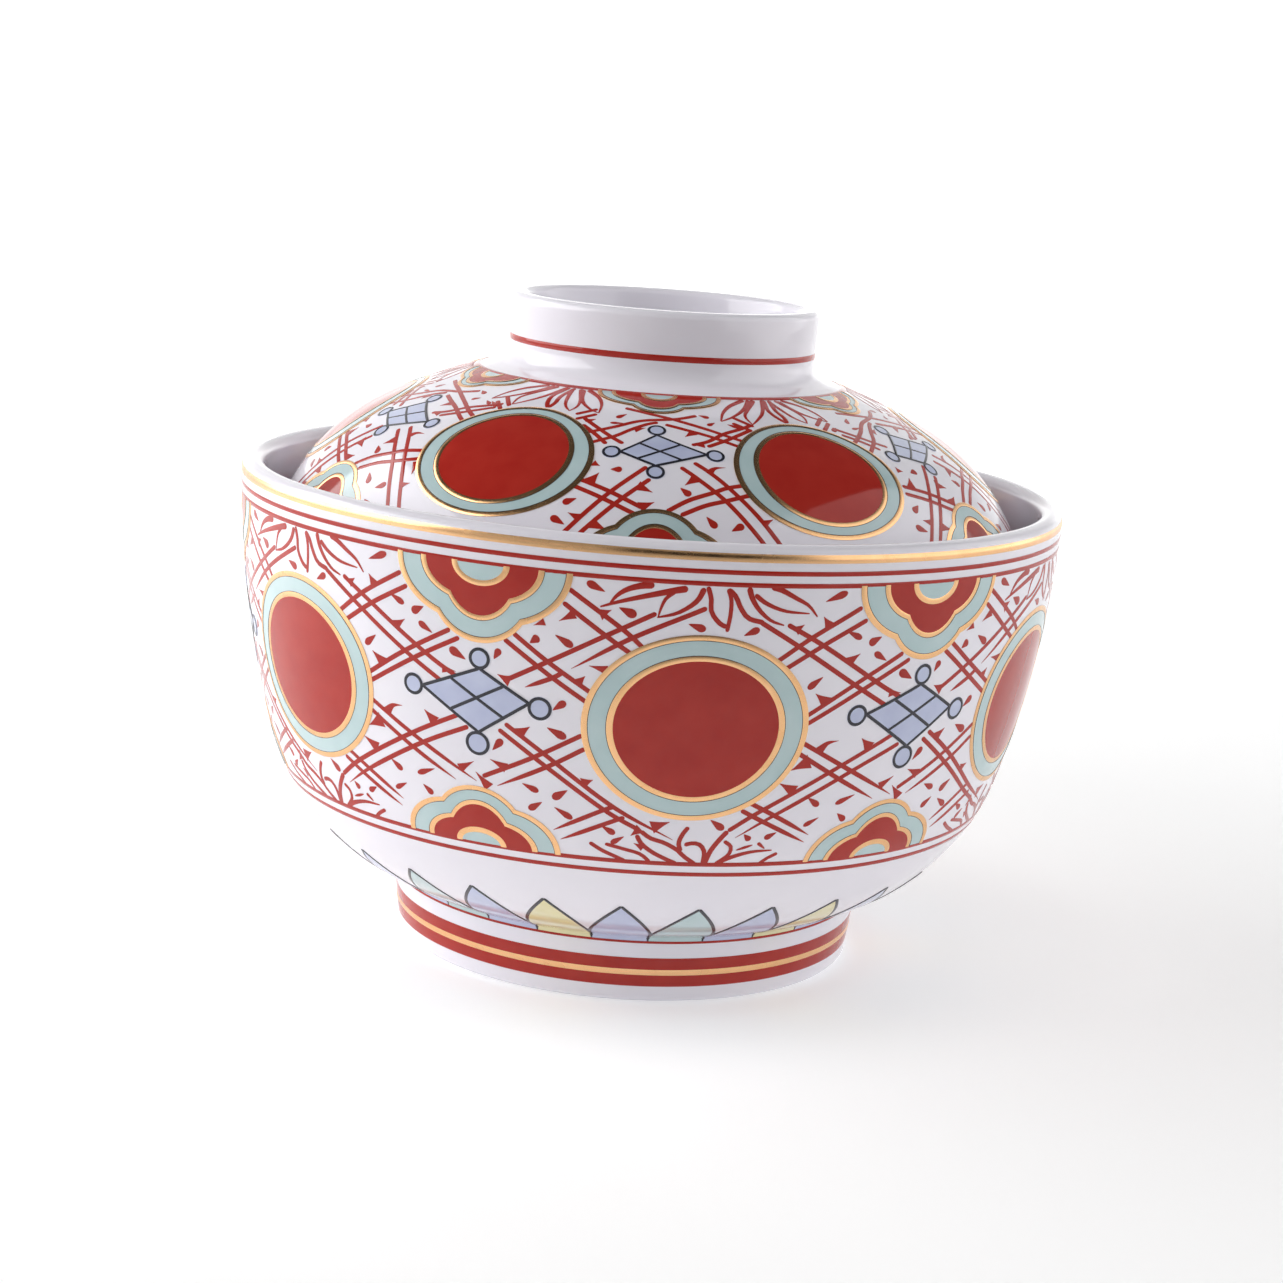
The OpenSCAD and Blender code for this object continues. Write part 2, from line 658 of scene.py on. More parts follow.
@dataclass
class Sheet:
    """A drawing in one finish, made of patches on a flat sheet that is then wrapped round the ware."""

    name: str
    finish: Finish
    body: str
    face: Outline
    radius: float
    height: float
    patches: list[tuple[int, int, Place]] = field(default_factory=list)

    def squeeze(self, s: float) -> float:
        """Real millimetres round the ware for one on the sheet, at a run down the wall."""
        return self.face.at(s)[0].x / self.radius

    def patch(self, columns: int, rows: int, place: Place) -> None:
        """Adds a patch, whose place function gives x, s and share of the height on a unit square."""
        self.patches.append((columns, rows, place))

    def stroke(self, stroke: Stroke) -> None:
        """Adds a brush stroke, a little higher along its middle.

        Args:
            stroke: The stroke to draw.
        """
        length = stroke.length()
        short = length < SHORT_STROKE
        columns = 10 if short else max(14, math.ceil(length / STROKE_STEP))

        def place(column: float, across: float) -> tuple[float, float, float]:
            """Places a point of the stroke, with the columns closer together towards its ends.

            Args:
                column: Share of the columns.
                across: Share of the way across the stroke.

            Returns:
                Sheet x and s, and the share of the height.
            """
            along = (1 - math.cos(math.pi * column)) / 2
            middle = stroke.place(along)
            way = stroke.place(min(along + 0.01, 1)) - stroke.place(max(along - 0.01, 0))
            k = self.squeeze(middle.y)
            side = Vector((-way.y, way.x * k)).normalized()
            off = (2 * across - 1) * stroke.half_width(along)
            return middle.x + off * side.x / k, middle.y + off * side.y, crown(across)

        self.patch(columns, 2 if short else 4, place)

    def oval_ring(self, centre: Pair, inner: Pair, outer: Pair, flat: bool = False) -> None:
        """Adds a ring between two ovals, or a disc where the inner one is nothing.

        Args:
            centre: Middle of the ovals on the sheet.
            inner: Half width and half height of the inner oval.
            outer: Half width and half height of the outer oval.
            flat: True for a flat fill, False for a line that is higher along its middle.
        """
        rows = max(3, math.ceil((outer[1] - inner[1]) / FILL_STEP))
        columns = max(32, math.ceil(FULL_TURN * outer[0] / OVAL_STEP))

        def place(along: float, across: float) -> tuple[float, float, float]:
            """Places a point of the ring.

            Args:
                along: Share of the way round.
                across: Share of the way from the inner oval to the outer one.

            Returns:
                Sheet x and s, and the share of the height.
            """
            turn = FULL_TURN * along
            wide = inner[0] + (outer[0] - inner[0]) * across
            high = inner[1] + (outer[1] - inner[1]) * across
            rise = 1.0 if flat else crown(across)
            return centre[0] + wide * math.cos(turn), centre[1] - high * math.sin(turn), rise

        self.patch(columns, rows, place)

    def between(self, inner: Line, outer: Line, columns: int, rows: int, flat: bool) -> None:
        """Adds a patch between two drawn lines.

        Args:
            inner: Gives the first line's point at a share of its length.
            outer: Gives the second line's point at the same share.
            columns: Faces along the lines.
            rows: Faces from one line to the other.
            flat: True for a flat fill, False for a line that is higher along its middle.
        """

        def place(along: float, across: float) -> tuple[float, float, float]:
            """Places a point of the patch, on the straight way from one line to the other.

            Args:
                along: Share of the way along both lines.
                across: Share of the way from the first to the second.

            Returns:
                Sheet x and s, and the share of the height.
            """
            a, b = inner(along), outer(along)
            rise = 1.0 if flat else crown(across)
            return a[0] + (b[0] - a[0]) * across, a[1] + (b[1] - a[1]) * across, rise

        self.patch(columns, rows, place)

    def draw(self) -> bpy.types.Object:
        """Makes the flat drawing: each patch is a grid laid in its place, and all get a thickness.

        Returns:
            The flat piece, with x and -s in its plane and its height along Z.
        """
        piece = start_mesh(self.name)
        for columns, rows, place in self.patches:
            bpy.ops.mesh.primitive_grid_add(
                x_subdivisions=columns, y_subdivisions=rows, size=2, enter_editmode=True
            )
            mesh = bmesh.from_edit_mesh(piece.data)
            for vert in mesh.verts:
                if vert.select:
                    x, s, rise = place((vert.co.x + 1) / 2, (vert.co.y + 1) / 2)
                    vert.co = Vector((x, -s, self.height * rise)) * MM
            bmesh.update_edit_mesh(piece.data)
        bpy.ops.mesh.select_all(action="SELECT")
        bpy.ops.mesh.remove_doubles(threshold=SHEET_MERGE * MM)
        bpy.ops.mesh.select_all(action="SELECT")
        self.face_up(piece)
        bpy.ops.object.mode_set(mode="OBJECT")
        depth = piece.modifiers.new("depth", "SOLIDIFY")
        depth.thickness = (self.height + SUNK) * MM
        depth.offset = -1
        bpy.ops.object.modifier_apply(modifier=depth.name)
        return piece

    def face_up(self, piece: bpy.types.Object) -> None:
        """Turns every face of the flat drawing towards its viewer.

        Args:
            piece: The flat drawing, in edit mode.
        """
        mesh = bmesh.from_edit_mesh(piece.data)
        mesh.normal_update()
        for face in mesh.faces:
            face.select = face.normal.z < 0
        bmesh.update_edit_mesh(piece.data)
        bpy.ops.mesh.flip_normals()

    def wrap(self, azimuths: Sequence[float]) -> bpy.types.Object:
        """Copies the flat drawing to each azimuth and wraps it round the ware.

        Args:
            azimuths: Where the sheet's x is nothing, in degrees from the front, for each copy.

        Returns:
            The finished piece, dressed and riding on its body.
        """
        flat = self.draw()
        copies = [flat]
        for _ in azimuths[1:]:
            bpy.ops.object.select_all(action="DESELECT")
            flat.select_set(True)
            bpy.context.view_layer.objects.active = flat
            bpy.ops.object.duplicate()
            copies.append(bpy.context.object)
        for copy, azimuth in zip(copies, azimuths):
            for vert in copy.data.vertices:
                point, out = self.face.at(-vert.co.y / MM)
                lifted = point + vert.co.z / MM * out
                turn = math.radians(azimuth) + vert.co.x / MM / self.radius
                vert.co = Vector((lifted.x * math.sin(turn), -lifted.x * math.cos(turn), lifted.y)) * MM
        bpy.ops.object.select_all(action="DESELECT")
        for copy in copies:
            copy.select_set(True)
        bpy.context.view_layer.objects.active = flat
        bpy.ops.object.join()
        return dress(flat, self.finish, self.body)


@dataclass(frozen=True)
class Lobes:
    """Outline of a half medallion: a middle lobe between two side lobes, over a straight base.

    Fields give half of the base, the depth from it, the notch between two lobes, how far out the
    side lobes' middles are as a share of the notch's x, and how far the middle lobe's own middle
    dips under the notch as a share of its rise. With no notch the outline is half an oval.
    """

    half_width: float
    depth: float
    notch: Pair | None = None
    hub: float = 0.45
    dip: float = 1.1

    def at(self, along: float) -> Pair:
        """Point of the outline at a share of its run, as x and the depth from the base.

        Args:
            along: Share of the run, from the left end of the base to the right.

        Returns:
            The point, with x nothing in the middle.
        """
        if self.notch is None:
            turn = math.pi * along
            return -self.half_width * math.cos(turn), self.depth * math.sin(turn)
        across = 2 * abs(along - 0.5)
        sign = 1 if along > 0.5 else -1
        x, y = self.notch
        if across > 0.5:
            hub = self.hub * x
            reach = self.half_width - hub
            stop = math.acos(min(1.0, (x - hub) / reach))
            turn = stop * (1 - across) * 2
            return sign * (hub + reach * math.cos(turn)), y / math.sin(stop) * math.sin(turn)
        dip = self.dip * (self.depth - y)
        high = self.depth - y + dip
        wide = x / math.sqrt(1 - (dip / high) ** 2)
        start = math.asin(dip / high)
        turn = start + (math.pi / 2 - start) * (1 - across * 2)
        return sign * wide * math.cos(turn), y - dip + high * math.sin(turn)

    def grown(self, by: float) -> "Lobes":
        """The same outline, moved out by a distance."""
        notch = None if self.notch is None else (self.notch[0], self.notch[1] + by)
        return replace(self, half_width=self.half_width + by, depth=self.depth + by, notch=notch)


@dataclass(frozen=True)
class HalfMedallion:
    """Half of a lobed medallion that stands on a ruled line: gold, celadon, gold, red, gold, celadon.

    Fields give the middle and the base on the sheet, 1 where it hangs down from its line or -1 where
    it stands up, the outline of each colour, and the faces along an outline.
    """

    x: float
    base: float
    way: int
    outer_gold: Lobes
    outer_aqua: Lobes
    middle_gold: Lobes
    red: Lobes
    inner_gold: Lobes
    inner_aqua: Lobes
    columns: int = 72
    inner_columns: int = 32

    def line(self, lobes: Lobes) -> Line:
        """Lays an outline on the sheet.

        Args:
            lobes: The outline.

        Returns:
            A function that gives the outline's sheet point at a share of its run.
        """

        def at(along: float) -> Pair:
            """Point of the outline on the sheet."""
            x, depth = lobes.at(along)
            return self.x + x, self.base + self.way * depth

        return at

    def base_line(self, along: float) -> Pair:
        """Point of the straight base under the innermost outline."""
        return self.x + self.inner_aqua.at(along)[0], self.base

    def paint(self, sheets: "Palette") -> None:
        """Draws the medallion's fills, gold lines and hairlines on their sheets.

        Args:
            sheets: The motif's own sheets.
        """
        for sheet, inner, outer, rows, flat in (
            (sheets.gold, self.outer_aqua, self.outer_gold, 4, False),
            (sheets.aqua, self.middle_gold, self.outer_aqua, 3, True),
            (sheets.gold, self.red, self.middle_gold, 4, False),
            (sheets.red, self.inner_gold, self.red, 4, True),
            (sheets.gold, self.inner_aqua, self.inner_gold, 4, False),
            (sheets.black, self.outer_aqua.grown(-HAIRLINE), self.outer_aqua, 2, False),
            (sheets.black, self.middle_gold, self.middle_gold.grown(HAIRLINE), 2, False),
        ):
            sheet.between(self.line(inner), self.line(outer), self.columns, rows, flat)
        sheets.aqua.between(self.base_line, self.line(self.inner_aqua), self.inner_columns, 3, True)


@dataclass(frozen=True)
class Roundel:
    """A red disc in a celadon ring, with a gold line on either side of the ring."""

    x: float
    s: float
    outer_gold: Pair
    outer_aqua: Pair
    inner_gold: Pair
    red: Pair

    def paint(self, sheets: "Palette") -> None:
        """Draws the roundel's fills, gold lines and hairlines on their sheets.

        Args:
            sheets: The motif's own sheets.
        """
        centre = (self.x, self.s)
        sheets.gold.oval_ring(centre, self.outer_aqua, self.outer_gold)
        sheets.aqua.oval_ring(centre, self.inner_gold, self.outer_aqua, True)
        sheets.gold.oval_ring(centre, self.red, self.inner_gold)
        sheets.red.oval_ring(centre, (0.0, 0.0), self.red, True)
        wide, high = self.outer_aqua
        sheets.black.oval_ring(centre, (wide - HAIRLINE, high - HAIRLINE), self.outer_aqua)
        wide, high = self.inner_gold
        sheets.black.oval_ring(centre, self.inner_gold, (wide + HAIRLINE, high + HAIRLINE))


@dataclass(frozen=True)
class Lozenge:
    """A quartered blue lozenge in black line, with a small circle against each corner.

    Fields give the corners from the left one round, the circles' middles in the same order, their
    radii and the width of the line.
    """

    corners: tuple[Pair, Pair, Pair, Pair]
    knots: tuple[Pair, Pair, Pair, Pair]
    knot_radii: tuple[float, float, float, float]
    line: float

    def paint(self, sheets: "Palette") -> None:
        """Draws the lozenge's fill, its lines and its four circles.

        Args:
            sheets: The motif's own sheets.
        """
        left, top, right, low = (Vector(corner) for corner in self.corners)

        def fill(along: float, across: float) -> tuple[float, float, float]:
            """Point of the fill, between the four corners."""
            spot = left.lerp(top, along).lerp(low.lerp(right, along), across)
            return spot.x, spot.y, 1.0

        sheets.blue.patch(10, 10, fill)
        sides = [(left, top), (top, right), (right, low), (low, left)]
        middles = [a.lerp(b, 0.5) for a, b in sides]
        for a, b in (*sides, (middles[0], middles[2]), (middles[1], middles[3])):
            sheets.black.stroke(Stroke((tuple(a), tuple(b)), self.line))
        for centre, radius in zip(self.knots, self.knot_radii):
            k = sheets.blue.squeeze(centre[1])
            thin = radius - self.line
            sheets.blue.oval_ring(centre, (0.0, 0.0), (radius / k, radius), True)
            sheets.black.oval_ring(centre, (thin / k, thin), (radius / k, radius))


@dataclass(frozen=True)
class PetalBand:
    """A ring of pointed petals above the foot, each one colour in a black outline."""

    count: int
    tip: float
    base: float
    line: float
    colours: tuple[Finish, ...]
    widest_at: float = 0.85
    swell: float = 0.95
    fill_height: float = 0.05
    line_height: float = 0.09

    def half_width(self, down: float) -> float:
        """Share of the half width at a share of the way from tip to base."""
        return math.sin(math.pi / 2 * min(down / self.widest_at, 1)) ** self.swell

    def paint(self, body: str, face: Outline, radius: float, turn: float) -> None:
        """Draws the band: one sheet for each colour, and one for the outline.

        Args:
            body: Body that the petals ride on.
            face: Outline of the ware.
            radius: Radius at which the sheets are measured.
            turn: Azimuth of the first petal's tip, in degrees.
        """
        pitch = 360 / self.count
        half = math.radians(pitch / 2) * radius
        high = self.base - self.tip
        azimuths = [turn + pitch * k for k in range(self.count)]

        def fill(along: float, across: float) -> tuple[float, float, float]:
            """Point of a petal, with the first share across it and the second from tip to base."""
            return half * self.half_width(across) * (2 * along - 1), self.tip + high * across, 1.0

        for colour in dict.fromkeys(self.colours):
            name = f"{body}_petals_{colour.slot.split('_')[0]}"
            sheet = Sheet(name, colour, body, face, radius, self.fill_height)
            sheet.patch(10, 26, fill)
            turns = [a for k, a in enumerate(azimuths) if self.colours[k % len(self.colours)] is colour]
            sheet.wrap(turns)
        shares = (0.0, 0.2, 0.4, 0.6, 0.75, 0.88, 1.0)
        outline = Sheet(f"{body}_petals_outline", BLACK, body, face, radius, self.line_height)
        for side in (-1, 1):
            points = tuple((side * half * self.half_width(f), self.tip + high * f) for f in shares)
            outline.stroke(Stroke(points, self.line))
        outline.wrap(azimuths)


@dataclass
class Palette:
    """The sheets of one pattern, one for each finish that it is painted in."""

    body: str
    face: Outline
    radius: float
    motif: str
    red: Sheet = field(init=False)
    aqua: Sheet = field(init=False)
    blue: Sheet = field(init=False)
    gold: Sheet = field(init=False)
    black: Sheet = field(init=False)

    def __post_init__(self) -> None:
        """Lays out an empty sheet for each finish."""
        for name, finish, height in (
            ("red", RED, ENAMEL_HEIGHT),
            ("aqua", AQUA, ENAMEL_HEIGHT),
            ("blue", BLUE, ENAMEL_HEIGHT),
            ("gold", GOLD, LINE_HEIGHT),
            ("black", BLACK, LINE_HEIGHT),
        ):
            sheet_name = f"{self.body}_{self.motif}_{name}"
            setattr(self, name, Sheet(sheet_name, finish, self.body, self.face, self.radius, height))

    def wrap(self, azimuths: Sequence[float]) -> None:
        """Wraps each sheet that has something on it round the ware.

        Args:
            azimuths: Where each copy stands, in degrees from the front.
        """
        for sheet in (self.red, self.aqua, self.blue, self.gold, self.black):
            if sheet.patches:
                sheet.wrap(azimuths)


Motif = Roundel | HalfMedallion | Lozenge


def paint_motifs(
    body: str, face: Outline, radius: float, motifs: Sequence[tuple[str, Motif, Sequence[float]]]
) -> None:
    """Paints each motif on sheets of its own and wraps them round the ware.

    Args:
        body: Body that the motifs ride on.
        face: Outline of the ware.
        radius: Radius at which the sheets are measured.
        motifs: Name, drawing and azimuths in degrees of each motif.
    """
    for name, drawing, azimuths in motifs:
        sheets = Palette(body, face, radius, name)
        drawing.paint(sheets)
        sheets.wrap(azimuths)


def line(*points: Pair) -> Stroke:
    """An even red line."""
    return Stroke(points, FENCE_WIDTH, Brush.LINE)


def tail(*points: Pair) -> Stroke:
    """A red line whose end is drawn out to a point."""
    return Stroke(points, FENCE_WIDTH, Brush.TAIL)


def thorn(base: Pair, tip: Pair, width: float = 0.95) -> Stroke:
    """A thorn that stands on a line of the lattice."""
    return Stroke((base, tip), THORN_SPREAD * width, Brush.THORN)


def drop(head: Pair, end: Pair, width: float = 0.9) -> Stroke:
    """A loose drop, from its round head to its tail.

    Args:
        head: Where the drawn head is.
        end: Where the tail ends.
        width: Drawn width.

    Returns:
        The stroke, grown a little past the drawn head.
    """
    a, b = Vector(head), Vector(end)
    reach = DROP_GROWTH * (a - b)
    return Stroke((tuple(a + reach), tuple(b)), DROP_SPREAD * width, Brush.DROP)


def leaf(*points: Pair, width: float = 0.48) -> Stroke:
    """One edge of a leaf or a stem, finer towards its tip."""
    return Stroke(points, LEAF_SPREAD * width, Brush.BLOB)


def stem(*points: Pair, width: float = 0.48) -> Stroke:
    """A stem of even width."""
    return Stroke(points, LEAF_SPREAD * width, Brush.LINE)


@dataclass(frozen=True)
class FencePattern:
    """Red drawing round a roundel: double lines that cross like a fence, thorns, drops and sprays."""

    motif: str
    fence: tuple[Stroke, ...]
    thorns: tuple[Stroke, ...]
    drops: tuple[Stroke, ...]
    spray: tuple[Stroke, ...]

    def paint(self, body: str, face: Outline, radius: float, azimuths: Sequence[float]) -> None:
        """Draws each kind of stroke on its own sheet and wraps it.

        Args:
            body: Body that the drawing rides on.
            face: Outline of the ware.
            radius: Radius at which the sheets are measured.
            azimuths: Where each copy stands, in degrees from the front.
        """
        for name, strokes, height in (
            ("lines", self.fence, 0.03),
            ("thorns", self.thorns, 0.034),
            ("drops", self.drops, 0.034),
            ("leaves", self.spray, 0.037),
        ):
            if not strokes:
                continue
            sheet = Sheet(f"{body}_{self.motif}_{name}", RED, body, face, radius, height)
            for stroke in strokes:
                sheet.stroke(stroke)
            sheet.wrap(azimuths)


BOWL_PATTERN = FencePattern(
    motif="fence",
    fence=(
        line((-17.2, 6.2), (-10.3, 10.7), (-7.6, 12.9)),
        line((-17.8, 8.0), (-12.3, 11.7), (-8.8, 13.9)),
        line((-6.3, 8.4), (-12.3, 11.7), (-19.5, 15.8), (-25.2, 19.0)),
        tail((-0.2, 7.4), (-9.0, 11.7), (-16.4, 16.3)),
        tail((-17.3, 16.8), (-18.8, 17.8), (-22.3, 19.4)),
        line((-24.0, 12.6), (-19.5, 15.7), (-13.6, 19.3)),
        line((-25.2, 13.5), (-18.7, 17.8), (-14.1, 20.6)),
        tail((-25.0, 24.6), (-19.7, 28.0), (-10.2, 34.4), (-1.6, 38.7)),
        line((-25.9, 25.5), (-19.3, 29.8), (-11.3, 35.0), (-6.2, 37.6)),
        line((-14.6, 24.9), (-21.3, 28.8), (-28.4, 32.4)),
        tail((-14.2, 26.7), (-19.3, 29.8), (-26.3, 33.4)),
        tail((-10.0, 34.4), (-12.0, 35.3), (-18.3, 38.6)),
        tail((-8.5, 35.8), (-11.8, 37.3), (-17.3, 39.9)),
        line((9.3, 14.0), (13.8, 10.8), (20.2, 7.1)),
        line((10.6, 14.9), (15.7, 11.7), (21.2, 8.7)),
        line((6.6, 8.9), (12.0, 12.0), (20.7, 17.2), (26.8, 20.6)),
        line((10.2, 9.2), (15.5, 12.0), (24.2, 17.1), (28.6, 19.4)),
        line((14.4, 21.2), (20.7, 17.2), (27.6, 13.3)),
        line((14.6, 22.3), (22.8, 17.5), (28.9, 14.2)),
        tail((14.3, 24.7), (21.0, 28.2), (30.9, 33.2)),
        tail((13.9, 26.1), (21.2, 30.2), (27.7, 33.5)),
        line((28.6, 24.4), (21.3, 28.1), (10.8, 34.0), (6.0, 37.2)),
        tail((30.0, 25.8), (22.8, 29.2), (12.5, 34.9), (7.2, 38.2)),
        tail((8.4, 33.1), (12.5, 35.1), (18.3, 38.1)),
        tail((7.4, 34.2), (11.3, 36.1), (17.9, 39.2)),
    ),
    thorns=(
        thorn((-13.2, 9.1), (-11.8, 8.4)),
        thorn((-16.3, 9.3), (-18.2, 10.4), 0.8),
        thorn((-24.3, 18.9), (-26.0, 18.2)),
        thorn((-15.6, 18.2), (-14.6, 17.1)),
        thorn((-11.9, 16.1), (-14.2, 15.7), 0.75),
        thorn((-20.0, 10.7), (-21.4, 11.3), 0.6),
        thorn((-23.2, 25.8), (-21.6, 24.6), 1.1),
        thorn((-24.9, 30.7), (-27.2, 29.8), 0.85),
        thorn((-27.5, 33.8), (-29.4, 31.9)),
        thorn((-14.4, 31.5), (-13.0, 30.9)),
        thorn((-4.7, 37.0), (-2.3, 36.1), 1.15),
        thorn((-6.2, 37.3), (-7.5, 38.4)),
        thorn((-5.6, 40.1), (-7.0, 39.5), 0.7),
        thorn((15.9, 9.5), (14.9, 8.2)),
        thorn((11.3, 10.0), (12.4, 9.2), 0.8),
        thorn((19.2, 14.2), (20.8, 13.1)),
        thorn((17.0, 19.5), (15.2, 18.2), 1.1),
        thorn((26.4, 18.6), (28.4, 18.7), 0.7),
        Stroke(((17.1, 26.0), (18.2, 25.0), (19.8, 24.7)), 1.3, Brush.THORN),
        thorn((25.0, 26.0), (23.4, 24.6), 1.1),
        thorn((16.0, 27.4), (13.5, 28.6), 1.3),
        thorn((14.6, 31.6), (12.2, 30.4), 1.1),
        thorn((28.4, 31.8), (30.6, 30.5), 0.8),
    ),
    drops=(
        drop((-14.5, 5.4), (-12.7, 6.2)),
        drop((-9.2, 8.7), (-10.9, 8.0), 1.05),
        drop((-0.6, 10.0), (-2.3, 9.5)),
        drop((-20.9, 12.9), (-21.8, 13.6), 1.0),
        drop((-16.8, 13.2), (-18.6, 12.2)),
        drop((-25.9, 15.2), (-26.5, 16.3), 0.85),
        drop((-17.3, 21.0), (-18.6, 22.0)),
        drop((-17.3, 25.3), (-19.3, 24.4), 1.0),
        drop((-25.7, 27.2), (-26.8, 28.5)),
        drop((-20.9, 33.2), (-22.7, 32.5), 0.8),
        drop((-18.0, 33.8), (-16.4, 32.7), 1.0),
        drop((-21.4, 35.8), (-19.9, 34.8), 0.85),
        drop((-16.2, 36.4), (-18.2, 35.3), 0.8),
        drop((-10.1, 38.1), (-11.6, 37.3), 0.8),
        drop((-9.8, 39.5), (-8.4, 38.6), 0.7),
        drop((17.2, 5.4), (14.9, 6.3), 0.85),
        drop((6.2, 10.0), (4.7, 10.7), 0.85),
        drop((20.2, 10.9), (18.4, 10.1), 0.75),
        drop((22.3, 11.7), (23.7, 11.0), 1.0),
        drop((23.4, 13.3), (25.0, 14.2), 0.8),
        drop((28.0, 16.0), (29.8, 16.9), 1.05),
        drop((14.4, 17.2), (15.9, 16.0), 0.85),
        drop((18.4, 33.6), (16.9, 32.6), 0.8),
        drop((22.1, 33.5), (24.4, 32.6), 0.7),
        drop((17.6, 36.5), (19.3, 35.6), 0.65),
        drop((23.4, 36.1), (22.2, 35.2), 0.8),
        drop((11.9, 38.2), (13.2, 37.5), 0.75),
        drop((9.2, 38.4), (8.4, 37.7), 0.75),
        drop((4.9, 36.7), (3.3, 35.6), 0.9),
        Stroke(((7.7, 40.1), (10.0, 39.3)), 0.42, Brush.TIPS),
        Stroke(((10.7, 39.0), (11.9, 39.9)), 0.55, Brush.BLOB),
    ),
    spray=(
        leaf((-6.8, 4.9), (-8.4, 5.1), (-10.1, 5.7), (-11.2, 6.5), (-12.0, 7.5), width=0.75),
        leaf((-2.7, 5.1), (-4.6, 5.5), (-8.0, 6.4), (-11.0, 7.3), (-13.2, 8.1), width=0.7),
        leaf((-4.2, 5.5), (-5.3, 6.5), (-5.8, 7.7), (-6.1, 8.9), width=0.45),
        leaf((-0.7, 4.9), (-1.3, 6.3), (-2.3, 7.3), (-4.0, 8.3), (-6.2, 8.9), width=0.6),
        stem((-0.3, 4.7), (0.2, 6.2), (0.3, 7.6), (0.8, 8.5), (1.6, 9.3), (2.5, 9.7)),
        stem((2.2, 4.9), (2.7, 6.3), (2.75, 8.2), (2.5, 10.3), width=0.42),
        stem((2.2, 4.9), (3.2, 5.8), (4.0, 7.3), (5.1, 8.5), (7.1, 9.0), width=0.5),
        leaf((4.8, 4.6), (5.3, 6.0), (6.3, 7.4), (7.9, 8.7), (9.7, 9.3), width=0.6),
        leaf((5.6, 5.5), (7.2, 6.6), (9.7, 7.5), (12.9, 7.8), width=0.5),
        leaf((7.6, 4.5), (9.0, 4.9), (11.0, 5.9), (12.7, 6.8), (14.0, 8.2), width=0.6),
        stem((-13.2, 39.9), (-11.3, 41.0), (-9.4, 41.8), (-8.0, 42.4), width=0.45),
        stem((-11.0, 39.9), (-8.3, 40.5), (-6.0, 41.1), (-4.5, 42.3), width=0.42),
        stem((-6.7, 38.2), (-5.9, 39.5), (-4.3, 40.7), (-2.3, 41.7), (-0.6, 42.4)),
        stem((-6.2, 37.6), (-4.7, 38.6), (-2.7, 39.2), (-0.8, 40.2), (0.3, 41.2), (2.1, 42.4)),
        stem((0.4, 36.7), (-0.3, 37.8), (-0.7, 39.1), (-0.3, 40.4)),
        stem((0.1, 39.4), (1.2, 39.1), (2.3, 39.3), (3.1, 40.4), (3.2, 42.4)),
        stem((6.0, 37.2), (5.0, 38.5), (4.0, 40.2), (3.4, 42.4), width=0.55),
        stem((5.7, 38.7), (6.8, 39.5), (6.8, 40.6), (6.1, 41.4), (5.0, 42.3), width=0.42),
        leaf((5.2, 42.2), (7.2, 41.2), (10.0, 40.4), (13.1, 40.2), width=0.6),
        stem((11.6, 42.4), (12.7, 41.5), (14.1, 40.7), width=0.42),
    ),
)

